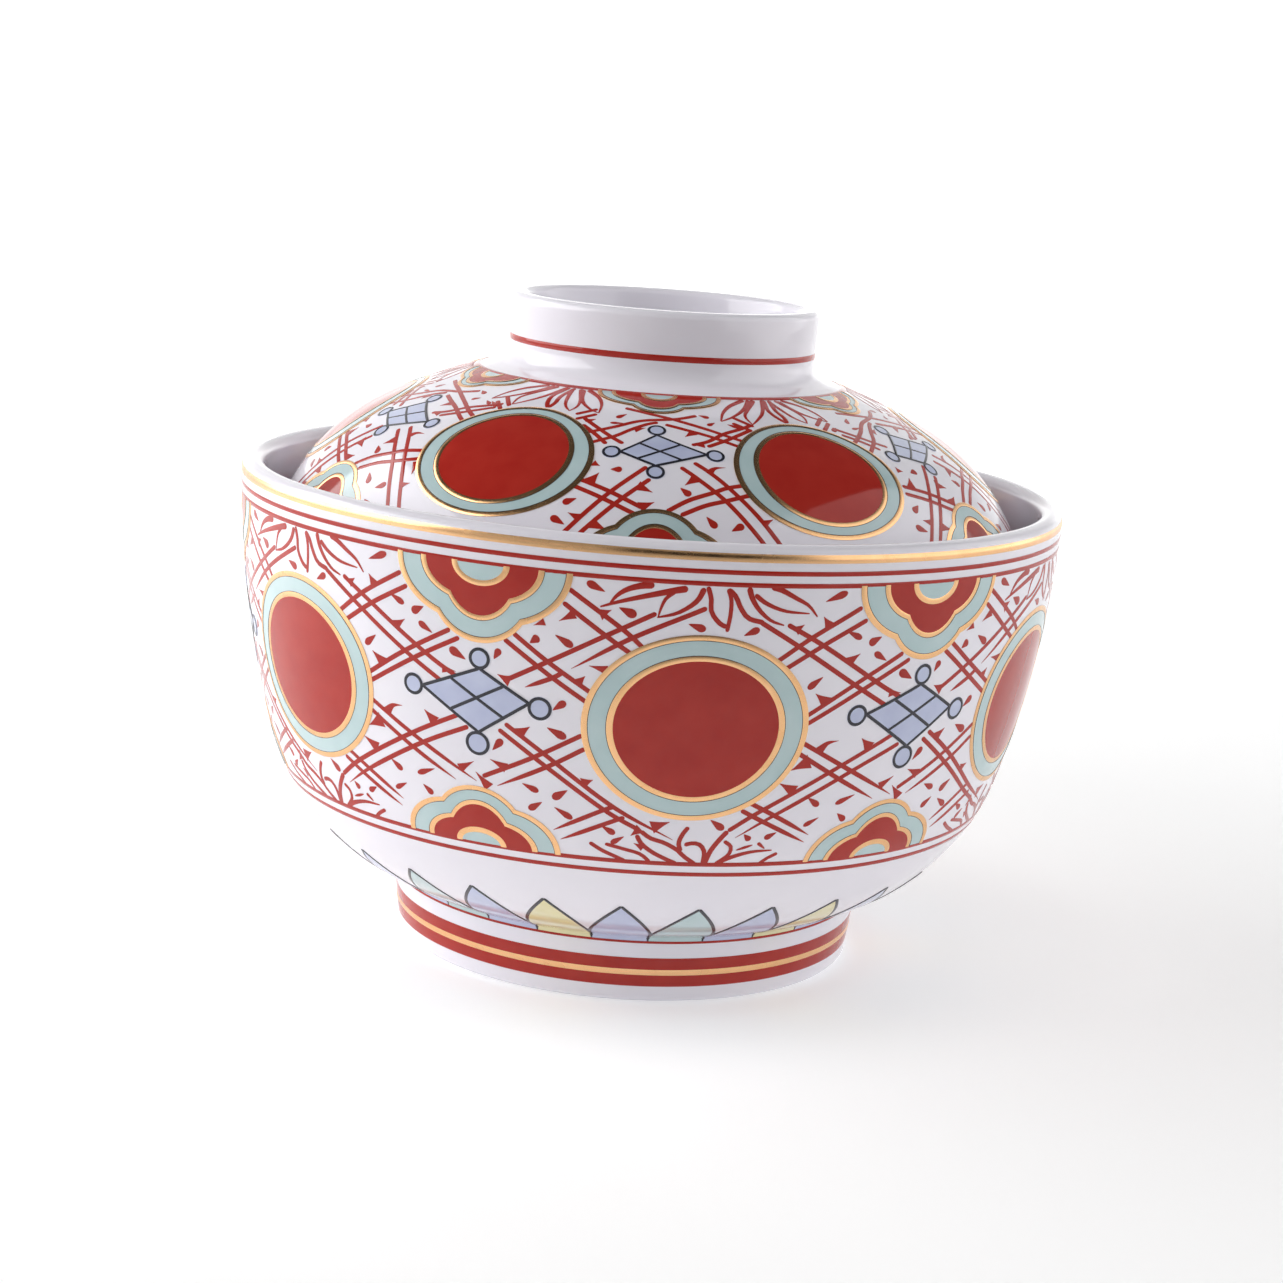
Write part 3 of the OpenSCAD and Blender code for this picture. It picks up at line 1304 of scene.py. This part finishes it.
LID_PATTERN = FencePattern(
    motif="fence",
    fence=(
        line((-6.9, 30.7), (-2.3, 31.7), (2.3, 32.8), (7.7, 34.7), (11.9, 36.6), (15.5, 38.2)),
        line((0.9, 34.2), (4.3, 35.2), (8.2, 36.5), (11.9, 38.3), (15.0, 39.8)),
        line((6.8, 31.5), (2.7, 32.7), (-3.3, 33.7), (-7.3, 35.6), (-10.2, 37.0), (-12.8, 38.2)),
        line((-0.4, 33.8), (-2.3, 34.5), (-4.7, 36.0), (-6.9, 37.8), (-9.6, 39.4), (-12.2, 40.9)),
        line((-13.4, 34.3), (-10.4, 36.2), (-7.4, 38.2), (-5.4, 39.4)),
        line((-13.0, 35.9), (-10.2, 37.8), (-7.9, 39.8)),
        line((7.4, 38.9), (10.7, 37.3), (13.2, 36.0), (16.0, 34.6)),
        line((5.0, 38.7), (7.7, 37.7), (10.7, 35.8), (13.8, 34.6), (16.5, 33.5)),
        line((5.0, 42.3), (7.0, 44.0), (9.3, 46.5), (12.7, 51.2), (16.2, 57.6)),
        line((3.1, 43.3), (5.3, 45.2), (8.8, 48.8), (12.2, 53.8), (14.4, 58.0)),
        line((1.3, 50.7), (4.0, 48.8), (7.2, 47.4), (9.3, 46.5), (13.2, 45.7)),
        line((3.0, 51.1), (6.0, 49.5), (8.8, 48.6), (13.2, 47.2)),
        line((-1.5, 43.6), (-5.3, 47.8), (-8.3, 51.8), (-12.2, 57.8)),
        line((-0.9, 45.7), (-4.2, 49.2), (-7.8, 53.8), (-10.6, 58.0)),
        line((-10.4, 46.6), (-6.0, 48.2), (-1.5, 50.4)),
        line((-10.8, 47.8), (-6.8, 49.3), (-2.3, 51.4)),
    ),
    thorns=(
        thorn((5.8, 35.6), (4.1, 36.9)),
        thorn((-4.2, 36.0), (-2.4, 35.4), 0.8),
        thorn((7.0, 38.5), (5.0, 38.6), 0.8),
        thorn((5.3, 45.0), (3.6, 46.4), 1.1),
        Stroke(((7.0, 44.0), (7.9, 43.2), (9.4, 43.0)), 1.0, Brush.THORN),
        thorn((-2.5, 47.0), (-0.5, 47.9), 1.0),
        thorn((-8.6, 47.0), (-7.7, 45.4), 1.0),
        thorn((-1.9, 50.3), (-0.2, 49.4), 1.0),
        thorn((-8.8, 52.6), (-10.3, 52.0), 0.8),
        thorn((-7.4, 53.1), (-5.4, 53.9), 1.0),
        thorn((12.9, 51.9), (14.3, 51.2), 0.8),
        thorn((13.0, 47.8), (13.6, 49.9), 0.9),
        thorn((-8.9, 43.8), (-7.8, 44.2), 0.7),
    ),
    drops=(
        drop((8.7, 31.8), (7.2, 31.3), 0.7),
        drop((8.7, 33.7), (9.9, 33.1), 0.6),
        drop((-7.5, 33.2), (-6.2, 32.3), 0.7),
        drop((-8.0, 34.8), (-6.0, 34.7), 0.5),
        drop((13.5, 34.0), (12.1, 33.4), 0.6),
        drop((-5.1, 44.5), (-6.3, 44.6)),
        drop((4.0, 47.8), (3.0, 46.9)),
        drop((-10.9, 50.5), (-9.7, 49.8)),
        drop((-11.8, 53.0), (-10.4, 53.7)),
        drop((7.0, 52.3), (6.1, 51.1)),
        drop((10.2, 52.3), (9.0, 53.0)),
        drop((9.6, 55.6), (8.4, 54.9)),
        drop((-9.0, 56.3), (-7.8, 55.6)),
    ),
    spray=(),
)

LID_SPRAY = FencePattern(
    motif="spray",
    fence=(
        line((10.2, 31.7), (6.8, 33.6)),
        line((10.6, 33.0), (7.4, 34.8)),
        line((-10.0, 31.5), (-6.8, 33.8)),
        line((-10.6, 33.0), (-7.6, 34.9)),
    ),
    thorns=(),
    drops=(
        drop((-9.6, 34.2), (-11.5, 33.4), 0.7),
        drop((9.6, 34.9), (10.9, 34.3), 0.7),
    ),
    spray=(
        leaf((-4.8, 26.6), (-9.0, 28.4), (-11.4, 30.4), (-12.6, 32.6), width=0.62),
        leaf((-3.4, 26.6), (-6.3, 29.2), (-9.6, 31.3), (-12.6, 32.7), width=0.55),
        leaf((-2.2, 26.6), (-5.6, 29.4), (-7.2, 31.2), (-6.8, 33.2), width=0.6),
        leaf((0.2, 26.6), (-2.8, 30.2), (-5.0, 32.0), (-6.8, 33.3), width=0.55),
        stem((0.6, 26.6), (-0.9, 29.4), (-0.4, 31.4), (0.7, 32.8), width=0.5),
        stem((2.0, 26.6), (0.9, 29.4), (1.2, 31.3), (0.8, 32.8), width=0.5),
        leaf((1.6, 26.8), (3.0, 30.6), (4.0, 32.0), (5.2, 32.9), width=0.55),
        leaf((3.6, 26.6), (5.6, 29.8), (6.0, 31.6), (5.2, 33.0), width=0.55),
        leaf((4.3, 26.8), (6.0, 29.8), (8.4, 31.7), (10.7, 32.7), width=0.55),
        leaf((5.4, 26.6), (8.8, 28.4), (10.4, 30.4), (10.8, 32.7), width=0.6),
    ),
)

BOWL_ROUNDEL = Roundel(
    x=0.0,
    s=23.27,
    outer_gold=(14.9, 12.47),
    outer_aqua=(14.1, 11.8),
    inner_gold=(11.65, 9.78),
    red=(10.8, 9.12),
)
BOWL_UPPER_MEDALLION = HalfMedallion(
    x=31.6,
    base=4.35,
    way=1,
    outer_gold=Lobes(11.9, 10.1, (5.8, 7.1)),
    outer_aqua=Lobes(11.1, 9.4, (5.45, 6.45)),
    middle_gold=Lobes(8.35, 7.2, (4.25, 4.55)),
    red=Lobes(7.6, 6.6, (3.95, 4.0)),
    inner_gold=Lobes(3.9, 2.85),
    inner_aqua=Lobes(3.1, 2.15),
)
BOWL_LOWER_MEDALLION = HalfMedallion(
    x=30.8,
    base=42.4,
    way=-1,
    outer_gold=Lobes(12.1, 8.5, (5.65, 5.95), 0.75),
    outer_aqua=Lobes(11.25, 7.9, (5.3, 5.4), 0.75),
    middle_gold=Lobes(8.7, 6.45, (4.35, 3.8), 0.7),
    red=Lobes(7.85, 5.85, (4.0, 3.3), 0.7),
    inner_gold=Lobes(3.95, 2.5),
    inner_aqua=Lobes(3.05, 1.7),
)
BOWL_LOZENGE = Lozenge(
    corners=((23.35, 21.3), (31.73, 17.8), (38.5, 21.5), (31.5, 26.3)),
    knots=((21.9, 21.36), (31.73, 16.5), (39.9, 22.0), (31.3, 27.85)),
    knot_radii=(1.45, 1.43, 1.55, 1.65),
    line=0.42,
)
BOWL_PETALS = PetalBand(count=28, tip=51.6, base=66.3, line=0.46, colours=(BLUE, AQUA, BLUE, YELLOW))

LID_ROUNDEL = Roundel(
    x=0.0,
    s=43.6,
    outer_gold=(13.2, 10.52),
    outer_aqua=(12.45, 9.93),
    inner_gold=(10.2, 8.67),
    red=(9.45, 8.08),
)
LID_UPPER_MEDALLION = HalfMedallion(
    x=-0.5,
    base=26.1,
    way=1,
    outer_gold=Lobes(14.2, 5.5, (5.2, 3.85)),
    outer_aqua=Lobes(13.2, 5.0, (4.9, 3.4)),
    middle_gold=Lobes(10.9, 4.3, (4.2, 2.8)),
    red=Lobes(10.0, 3.85, (3.9, 2.4)),
    inner_gold=Lobes(4.2, 2.0),
    inner_aqua=Lobes(3.2, 1.4),
)
LID_LOWER_MEDALLION = HalfMedallion(
    x=0.2,
    base=59.1,
    way=-1,
    outer_gold=Lobes(9.0, 8.7, (4.75, 6.05)),
    outer_aqua=Lobes(8.2, 8.15, (4.4, 5.5)),
    middle_gold=Lobes(6.7, 6.5, (3.4, 3.9)),
    red=Lobes(5.9, 5.95, (3.1, 3.3)),
    inner_gold=Lobes(3.2, 2.7),
    inner_aqua=Lobes(2.3, 1.8),
)
LID_LOZENGE = Lozenge(
    corners=((-5.55, 41.15), (-0.45, 36.95), (7.05, 40.65), (-0.35, 43.35)),
    knots=((-6.8, 41.3), (-0.5, 35.8), (8.3, 40.8), (-0.3, 44.5)),
    knot_radii=(1.2, 1.2, 1.2, 1.2),
    line=0.36,
)


@dataclass
class Bowl:
    """The bowl: its turned body on a foot ring, and the painting on its outside.

    A ruled line is given by its run down the wall and its width, the lip's gold by the runs of its
    edges over the lip, and a band of the foot by the heights of its edges. Turns are in degrees.
    """

    mouth_d: float = 115.0
    height: float = 67.0
    wall: float = 3.2
    side_r: float = 146.0
    side_rise: float = 2.0
    haunch_r: float = 29.0
    hollow_r: float = 24.0
    floor: float = 4.5
    foot_h: float = 8.0
    foot_d: float = 62.0
    foot_land: float = 1.2
    foot_edge_r: float = 1.0
    foot_spread: float = 6.0
    foot_draw: float = 8.0
    foot_fillet: float = 1.2
    sheet_r: float = 57.5
    sheet_top: float = 66.5
    roundel_turn: float = 7.86
    petal_turn: float = -0.2
    lip_gold: Pair = (1.9, 2.95)
    lip_gold_height: float = 0.04
    ruled_lines: tuple[Pair, ...] = (
        (2.85, 0.58),
        (4.35, 0.58),
        (42.45, 0.66),
        (44.2, 0.66),
        (66.5, 0.34),
    )
    foot_red_upper: Pair = (6.45, 4.6)
    foot_red_lower: Pair = (4.1, 2.3)
    foot_red_height: float = 0.05
    foot_gold: Pair = (4.75, 3.95)
    foot_gold_height: float = 0.08
    body: str = "bowl"

    def __post_init__(self) -> None:
        """Works out the section from the sizes."""
        self.side_c = Vector((self.mouth_d / 2 - self.side_r, self.height + self.side_rise))
        self.inside_r = self.side_r - self.wall
        self.haunch_c = self.turn_centre(self.side_r, self.haunch_r, self.foot_h)
        self.hollow_c = self.turn_centre(self.inside_r, self.hollow_r, self.foot_h + self.floor)
        self.lip_r = self.wall / 2
        self.lip_lean = -math.asin((self.side_rise + self.lip_r) / (self.side_r - self.lip_r))
        self.lip_c = self.side_c + (self.side_r - self.lip_r) * bearing(self.lip_lean)
        self.join = angle_of(self.haunch_c - self.side_c)
        self.hollow_join = angle_of(self.hollow_c - self.side_c)

    def turn_centre(self, side: float, radius: float, floor_z: float) -> Vector:
        """Centre of the arc that turns in from the long side curve to a floor."""
        rise = self.side_c.y - floor_z - radius
        return Vector((self.side_c.x + math.sqrt((side - radius) ** 2 - rise**2), floor_z + radius))

    def foot_side(self, sign: int, lean: float) -> tuple[Arc, Straight, Arc]:
        """One side of the foot ring, from the bowl's underside down to the standing face.

        Args:
            sign: 1 for the outside of the ring, -1 for its inside.
            lean: Angle of that side from upright, in degrees.

        Returns:
            The corner against the bowl, the straight side and the rounded edge.
        """
        turn = math.radians(lean)
        out = Vector((sign * math.cos(turn), -math.sin(turn)))
        up = Vector((sign * math.sin(turn), math.cos(turn)))
        edge_c = Vector((self.foot_d / 2 + sign * self.foot_land / 2, self.foot_edge_r))
        edge_start = angle_of(out) if sign > 0 else angle_of(out) % FULL_TURN
        edge_end = -math.pi / 2 if sign > 0 else 1.5 * math.pi
        edge = Arc(edge_c, self.foot_edge_r, edge_start, edge_end)
        return ring_side(edge, out, up, self.foot_fillet, self.haunch_c, self.haunch_r)

    def outer_foot(self) -> tuple[Arc, Straight, Arc]:
        """The outside of the foot ring, from the top down."""
        return self.foot_side(1, self.foot_spread)

    def wall_face(self) -> Outline:
        """Gives the outline that the wall's sheets are wrapped on.

        Returns:
            The painted wall, from the sheets' top edge down to the foot's side.
        """
        start = -math.asin((self.side_c.y - self.sheet_top) / self.side_r)
        corner, side, _ = self.outer_foot()
        stop = angle_of(corner.centre - self.haunch_c)
        return Outline(
            (
                Arc(self.side_c, self.side_r, start, self.join),
                Arc(self.haunch_c, self.haunch_r, self.join, stop),
                corner,
                side,
            )
        )

    def section(self) -> list[Vector]:
        """Works out the whole section.

        Returns:
            Its points, from the middle of the underside round to the middle of the floor.
        """
        corner, side, edge = self.outer_foot()
        in_corner, in_side, in_edge = self.foot_side(-1, self.foot_draw)
        under_stop = angle_of(in_corner.centre - self.haunch_c)
        under = Outline(
            (
                Straight(Vector((0, self.foot_h)), Vector((self.haunch_c.x, self.foot_h))),
                Arc(self.haunch_c, self.haunch_r, -math.pi / 2, under_stop),
                in_corner,
                in_side,
                in_edge,
            )
        )
        rise = [point for stretch in (edge, side, corner) for point in stretch.points()[::-1]]
        floor_z = self.foot_h + self.floor
        wall = Outline(
            (
                Arc(self.haunch_c, self.haunch_r, angle_of(corner.centre - self.haunch_c), self.join),
                Arc(self.side_c, self.side_r, self.join, self.lip_lean),
                Arc(self.lip_c, self.lip_r, self.lip_lean, self.lip_lean + math.pi),
                Arc(self.side_c, self.inside_r, self.lip_lean, self.hollow_join, True),
                Arc(self.hollow_c, self.hollow_r, self.hollow_join, -math.pi / 2, True),
                Straight(Vector((self.hollow_c.x, floor_z)), Vector((0, floor_z))),
            )
        )
        return under.points() + rise + wall.points()

    def build(self) -> None:
        """Turns the glazed body, which stands for the CAD bowl."""
        ware = spin_section("bowl_glazed_body", self.section(), False)
        dress(ware, GLAZE, self.body, 60.0)
        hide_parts("bowl")

    def rings(self) -> None:
        """Paints the ruled rings: gold on the lip, red lines round the pattern, and the foot's bands."""
        lip = Outline(
            (
                Arc(self.lip_c, self.lip_r, math.pi / 2, self.lip_lean),
                Arc(self.side_c, self.side_r, self.lip_lean, self.join),
            )
        )
        dress(painted_band("bowl_lip_gold", lip, *self.lip_gold, self.lip_gold_height), GOLD, self.body)
        rule_lines(self.body, self.wall_face(), self.ruled_lines)
        side = self.outer_foot()[1]
        top = side.start.y
        for name, finish, (high, low), height in (
            ("bowl_foot_red_upper", RED, self.foot_red_upper, self.foot_red_height),
            ("bowl_foot_red_lower", RED, self.foot_red_lower, self.foot_red_height),
            ("bowl_foot_gold", GOLD, self.foot_gold, self.foot_gold_height),
        ):
            dress(painted_band(name, Outline((side,)), top - high, top - low, height), finish, self.body)

    def paint(self) -> None:
        """Paints the pattern on the wall and the petals above the foot."""
        wall = self.wall_face()
        turns = [self.roundel_turn + 360 / REPEATS * k for k in range(REPEATS)]
        BOWL_PATTERN.paint(self.body, wall, self.sheet_r, turns)
        motifs = (
            ("roundel", BOWL_ROUNDEL, turns),
            ("upper_medallion", BOWL_UPPER_MEDALLION, turns),
            ("lower_medallion", BOWL_LOWER_MEDALLION, turns),
            ("lozenge", BOWL_LOZENGE, turns),
        )
        paint_motifs(self.body, wall, self.sheet_r, motifs)
        BOWL_PETALS.paint(self.body, wall, self.sheet_r, self.petal_turn)


@dataclass
class Lid:
    """The domed lid with its ring knob, and the painting on its outside.

    The first fields are the bowl's inner curve that the lid seats in and the height of its lip. A
    ruled line is given by its run down the dome and its width. Turns are in degrees.
    """

    seat_c: Vector
    seat_r: float
    lip_z: float
    drop: float = 11.0
    gap: float = 0.3
    wall: float = 3.2
    dome_r: float = 82.5
    shoulder_r: float = 30.0
    tuck: float = 14.0
    knob_h: float = 6.5
    knob_d: float = 40.7
    knob_land: float = 0.6
    knob_edge_r: float = 1.0
    knob_waist: float = 3.0
    knob_draw: float = 6.0
    knob_fillet: float = 2.5
    sheet_r: float = 45.0
    lozenge_turn: float = 0.7
    roundel_turns: tuple[float, ...] = (-27.5, 31.0, 91.5, 152.0, 212.2, 272.3)
    knob_line_z: float = 85.35
    knob_line_half: float = 0.42
    knob_line_height: float = 0.06
    ruled_lines: tuple[Pair, ...] = ((26.1, 0.8), (59.1, 0.58), (60.6, 0.58))
    body: str = "lid"

    def __post_init__(self) -> None:
        """Works out the section from the sizes."""
        self.edge_r = self.wall / 2
        reach = self.seat_r - self.gap - self.edge_r
        edge_z = self.lip_z - self.drop
        self.edge_c = self.seat_c + reach * bearing(-math.asin((self.seat_c.y - edge_z) / reach))
        self.edge_turn = math.radians(self.tuck)
        self.shoulder_c = self.edge_c - (self.shoulder_r - self.edge_r) * bearing(self.edge_turn)
        depth = math.sqrt((self.dome_r - self.shoulder_r) ** 2 - self.shoulder_c.x**2)
        self.dome_c = Vector((0, self.shoulder_c.y - depth))
        self.join = angle_of(self.shoulder_c - self.dome_c)
        self.knob_top = self.dome_c.y + self.dome_r + self.knob_h

    def face(self) -> Outline:
        """Gives the outline that the dome's sheets are wrapped on.

        Returns:
            The painted dome, from the axis out and down to the edge.
        """
        return Outline(
            (
                Arc(self.dome_c, self.dome_r, math.pi / 2, self.join),
                Arc(self.shoulder_c, self.shoulder_r, self.join, self.edge_turn),
            )
        )

    def knob_side(self, sign: int, lean: float) -> tuple[Arc, Straight, Arc]:
        """One side of the ring knob, from the dome up to its rim.

        Args:
            sign: 1 for the outside of the ring, -1 for its inside.
            lean: Angle by which that side leans from upright, in degrees.

        Returns:
            The corner against the dome, the straight side and the rounded edge.
        """
        turn = math.radians(lean)
        out = Vector((sign * math.cos(turn), -sign * math.sin(turn)))
        down = Vector((-math.sin(turn), -math.cos(turn)))
        edge_c = Vector((self.knob_d / 2 + sign * self.knob_land / 2, self.knob_top - self.knob_edge_r))
        edge = Arc(edge_c, self.knob_edge_r, angle_of(out) % FULL_TURN, math.pi / 2)
        return ring_side(edge, out, down, self.knob_fillet, self.dome_c, self.dome_r)

    def section(self) -> list[Vector]:
        """Works out the whole section.

        Returns:
            Its points, from the middle of the knob's well round to the middle of the underside.
        """
        in_corner, in_side, in_edge = self.knob_side(-1, self.knob_draw)
        corner, side, edge = self.knob_side(1, self.knob_waist)
        edge = Arc(edge.centre, edge.radius, math.pi / 2, -math.radians(self.knob_waist))
        runs = (
            Arc(self.dome_c, self.dome_r, math.pi / 2, angle_of(in_corner.centre - self.dome_c)).points(),
            in_corner.points(),
            in_side.points(),
            in_edge.points(),
            edge.points(),
            side.points()[::-1],
            corner.points()[::-1],
            Arc(self.dome_c, self.dome_r, angle_of(corner.centre - self.dome_c), self.join).points(),
            Arc(self.shoulder_c, self.shoulder_r, self.join, self.edge_turn).points(),
            Arc(self.edge_c, self.edge_r, self.edge_turn, self.edge_turn - math.pi).points(),
            Arc(self.shoulder_c, self.shoulder_r - self.wall, self.edge_turn, self.join).points(),
            Arc(self.dome_c, self.dome_r - self.wall, self.join, math.pi / 2).points(),
        )
        return chained(runs)

    def build(self) -> None:
        """Turns the glazed lid, which stands for the CAD lid."""
        ware = spin_section("lid_glazed_body", self.section(), False)
        dress(ware, GLAZE, self.body, 60.0)
        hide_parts("lid")

    def rings(self) -> None:
        """Paints the red line round the knob and the ruled lines that bound the pattern."""
        _, side, _ = self.knob_side(1, self.knob_waist)
        knob = Outline((Straight(side.end, side.start),))
        middle = side.end.y - self.knob_line_z
        top, low = middle - self.knob_line_half, middle + self.knob_line_half
        dress(painted_band("lid_knob_line", knob, top, low, self.knob_line_height), RED, self.body)
        rule_lines(self.body, self.face(), self.ruled_lines)

    def paint(self) -> None:
        """Paints the pattern on the dome."""
        dome = self.face()
        turns = [self.lozenge_turn + 360 / REPEATS * k for k in range(REPEATS)]
        LID_PATTERN.paint(self.body, dome, self.sheet_r, turns)
        LID_SPRAY.paint(self.body, dome, self.sheet_r, self.roundel_turns)
        motifs = (
            ("roundel", LID_ROUNDEL, self.roundel_turns),
            ("upper_medallion", LID_UPPER_MEDALLION, turns),
            ("lower_medallion", LID_LOWER_MEDALLION, turns),
            ("lozenge", LID_LOZENGE, turns),
        )
        paint_motifs(self.body, dome, self.sheet_r, motifs)


@dataclass(frozen=True)
class Softbox:
    """A large soft lamp: where it stands, what it faces, its size and its power in watts."""

    name: str
    place: tuple[float, float, float]
    target: tuple[float, float, float]
    size: Pair
    power: float
    mirrored: bool = True

    def build(self) -> None:
        """Adds the lamp, turned towards its target. A fill lamp isn't mirrored in the glaze."""
        bpy.ops.object.light_add(type="AREA", location=self.place)
        lamp = bpy.context.object
        lamp.name = self.name
        lamp.data.shape = "RECTANGLE"
        lamp.data.size, lamp.data.size_y = self.size
        lamp.data.energy = self.power
        lamp.visible_camera = False
        lamp.visible_glossy = self.mirrored
        lamp.rotation_mode = "QUATERNION"
        lamp.rotation_quaternion = (Vector(self.target) - Vector(self.place)).to_track_quat("-Z", "Y")


@dataclass(frozen=True)
class Studio:
    """A pale paper sweep, soft lamps round it, and the camera at the photograph's place.

    The sweep's sizes and the paper's grain are in millimetres and the rest in metres. The paper has a dim
    patch in front of the ware, painted shade of grey paper without glow, which fades out over dim_front
    towards the back and over dim_reach from the middle. It has a glow of its own, painted light that
    grows from front to back and fades up the wall.
    """

    camera_place: tuple[float, float, float] = (0.0, -0.36681, 0.118855)
    camera_pitch: float = 11.733
    camera_roll: float = 4.071
    lens: float = 73.43
    sweep_radius: float = 1700.0
    sweep_bend: float = 600.0
    sweep_height: float = 1500.0
    sweep_steps: int = 24
    # Painted shade: where the paper's dim grey patch in front of the ware fades out, towards the back and
    # from the middle
    dim_front: Pair = (-0.3, -0.118)
    dim_reach: Pair = (0.45, 0.75)
    # Painted light: the paper's own glow, growing from front to back and fading up the wall
    glow_front_to_back: Pair = (0.1, 0.9)
    glow: Pair = (0.24, 0.95)
    fade_up_wall: Pair = (0.2, 0.5)
    fade: Pair = (1.0, 0.1)
    paper_grain: float = 10 / 9
    room_light: float = 0.06
    card_sides: Pair = (-0.09, 0.48)
    card_height: float = 0.36
    card_place: float = -0.62
    lamps: tuple[Softbox, ...] = (
        Softbox("softbox_left", (-0.38, 0.0, 0.2), (0.0, 0.0, 0.06), (0.5, 0.34), 1.7),
        Softbox("softbox_right", (0.44, 0.05, 0.37), (0.062, 0.18, 0.37), (0.78, 0.7), 1.65),
        Softbox("softbox_above", (0.0, -0.12, 0.7), (0.0, 0.0, 0.06), (0.3, 0.2), 0.6, False),
        Softbox("softbox_back", (0.0, 0.7, 0.35), (0.0, 0.0, 0.06), (0.8, 0.5), 0.5),
    )

    def paper(self) -> bpy.types.Material:
        """Builds the matt white paper of the sweep, with a painted glow of its own that grows towards the
        back and fades up its wall.

        Returns:
            The material. It is a little darker just in front of the ware, out of the camera's view:
            painted shade, grey and without glow.
        """
        made = bpy.data.materials.new("paper_with_painted_glow_and_shade")
        made.use_nodes = True
        tree = made.node_tree
        place = add_node(tree, "ShaderNodeTexCoord").outputs["Object"]
        axes = add_node(tree, "ShaderNodeSeparateXYZ", None, {0: place})
        away = add_node(tree, "ShaderNodeVectorMath", {"operation": "LENGTH"}, {0: place})
        grain = add_node(
            tree, "ShaderNodeTexNoise", {"Scale": 1 / (self.paper_grain * MM)}, {"Vector": place}
        )
        white = add_node(
            tree,
            "ShaderNodeMix",
            {"data_type": "RGBA", 6: linear("#f6f6f6"), 7: linear("#fafafa")},
            {0: grain.outputs["Fac"]},
        )
        ramps: list[bpy.types.NodeSocket] = []
        for source, (low, high), (first, last) in (
            (axes.outputs["Y"], self.dim_front, (0.0, 1.0)),
            (away.outputs["Value"], self.dim_reach, (0.0, 1.0)),
            (axes.outputs["Y"], self.glow_front_to_back, self.glow),
            (axes.outputs["Z"], self.fade_up_wall, self.fade),
        ):
            span = {"From Min": low, "From Max": high, "To Min": first, "To Max": last}
            ramps.append(add_node(tree, "ShaderNodeMapRange", span, {"Value": source}).outputs["Result"])
        behind, beyond, glow, fade = ramps
        most = add_node(tree, "ShaderNodeMath", {"operation": "MAXIMUM"}, {0: behind, 1: beyond})
        shown = most.outputs[0]
        # Painted shade: the dim patch in front of the ware is grey paper, standing for the dark room in
        # front that the glaze mirrors
        tone = add_node(
            tree,
            "ShaderNodeMix",
            {"data_type": "RGBA", 6: linear("#c4c4c4")},
            {0: shown, 7: white.outputs[2]},
        )
        # Painted light: the paper glows by itself, more towards the back, less up the wall, and not at
        # all in the dim patch
        faded = add_node(tree, "ShaderNodeMath", {"operation": "MULTIPLY"}, {0: glow, 1: fade})
        light = add_node(
            tree, "ShaderNodeMath", {"operation": "MULTIPLY"}, {0: faded.outputs[0], 1: shown}
        )
        shader = tree.nodes["Principled BSDF"]
        shader.inputs["Roughness"].default_value = 0.9
        shader.inputs["Emission Color"].default_value = (1.0, 1.0, 1.0, 1.0)
        tree.links.new(tone.outputs[2], shader.inputs["Base Color"])
        tree.links.new(light.outputs[0], shader.inputs["Emission Strength"])
        return made

    def sweep(self) -> None:
        """Lays the paper as a round floor that curves up into a low wall all round the ware."""
        flat = self.sweep_radius - self.sweep_bend
        bend = Arc(Vector((flat, self.sweep_bend)), self.sweep_bend, -math.pi / 2, 0.0)
        curve = [bend.at(bend.length * i / self.sweep_steps)[0] for i in range(self.sweep_steps + 1)]
        top = Vector((self.sweep_radius, self.sweep_height))
        floor = spin_section("studio_sweep", [Vector((0, 0)), *curve, top], False)
        bpy.ops.object.shade_smooth()
        floor.data.materials.append(self.paper())

    def card(self) -> None:
        """Stands a black card behind the camera, out of view, for the gold at the front to mirror."""
        left, right = self.card_sides
        middle = ((left + right) / 2, self.card_place, self.card_height / 2)
        bpy.ops.object.select_all(action="DESELECT")
        bpy.ops.mesh.primitive_plane_add(size=1, location=middle)
        card = bpy.context.object
        card.name = "studio_black_card"
        card.rotation_euler = (math.pi / 2, 0, 0)
        card.scale = (right - left, self.card_height, 1)
        bpy.ops.object.transform_apply(location=True, rotation=True, scale=True)
        made = bpy.data.materials.new("matt_black_card")
        made.use_nodes = True
        shader = made.node_tree.nodes["Principled BSDF"]
        shader.inputs["Base Color"].default_value = linear("#101010")
        shader.inputs["Roughness"].default_value = 0.9
        card.data.materials.append(made)
        card.visible_camera = False

    def build(self) -> None:
        """Sets up the sweep, the light and the camera."""
        self.card()
        self.sweep()
        for lamp in self.lamps:
            lamp.build()
        world = bpy.data.worlds.new("studio_room")
        bpy.context.scene.world = world
        world.use_nodes = True
        air = world.node_tree.nodes["Background"]
        air.inputs["Color"].default_value = (1.0, 1.0, 1.0, 1.0)
        air.inputs["Strength"].default_value = self.room_light
        bpy.context.scene.view_settings.view_transform = "Standard"
        bpy.ops.object.camera_add(location=self.camera_place)
        camera = bpy.context.object
        camera.name = "photo_camera"
        tilt = Matrix.Rotation(math.radians(90 - self.camera_pitch), 3, "X")
        roll = Matrix.Rotation(math.radians(self.camera_roll), 3, "Z")
        camera.rotation_euler = (tilt @ roll).to_euler()
        camera.data.lens = self.lens
        camera.data.sensor_width = 36.0
        camera.data.clip_start = 0.01
        camera.data.clip_end = 50.0
        bpy.context.scene.camera = camera


def main() -> None:
    """Builds the bowl, the lid and the studio."""
    logging.basicConfig(level=logging.INFO, format="%(name)s: %(message)s")
    bowl = Bowl()
    bowl.build()
    bowl.rings()
    bowl.paint()
    lid = Lid(bowl.side_c, bowl.inside_r, bowl.height)
    lid.build()
    lid.rings()
    lid.paint()
    Studio().build()


if __name__ == "__main__":
    main()
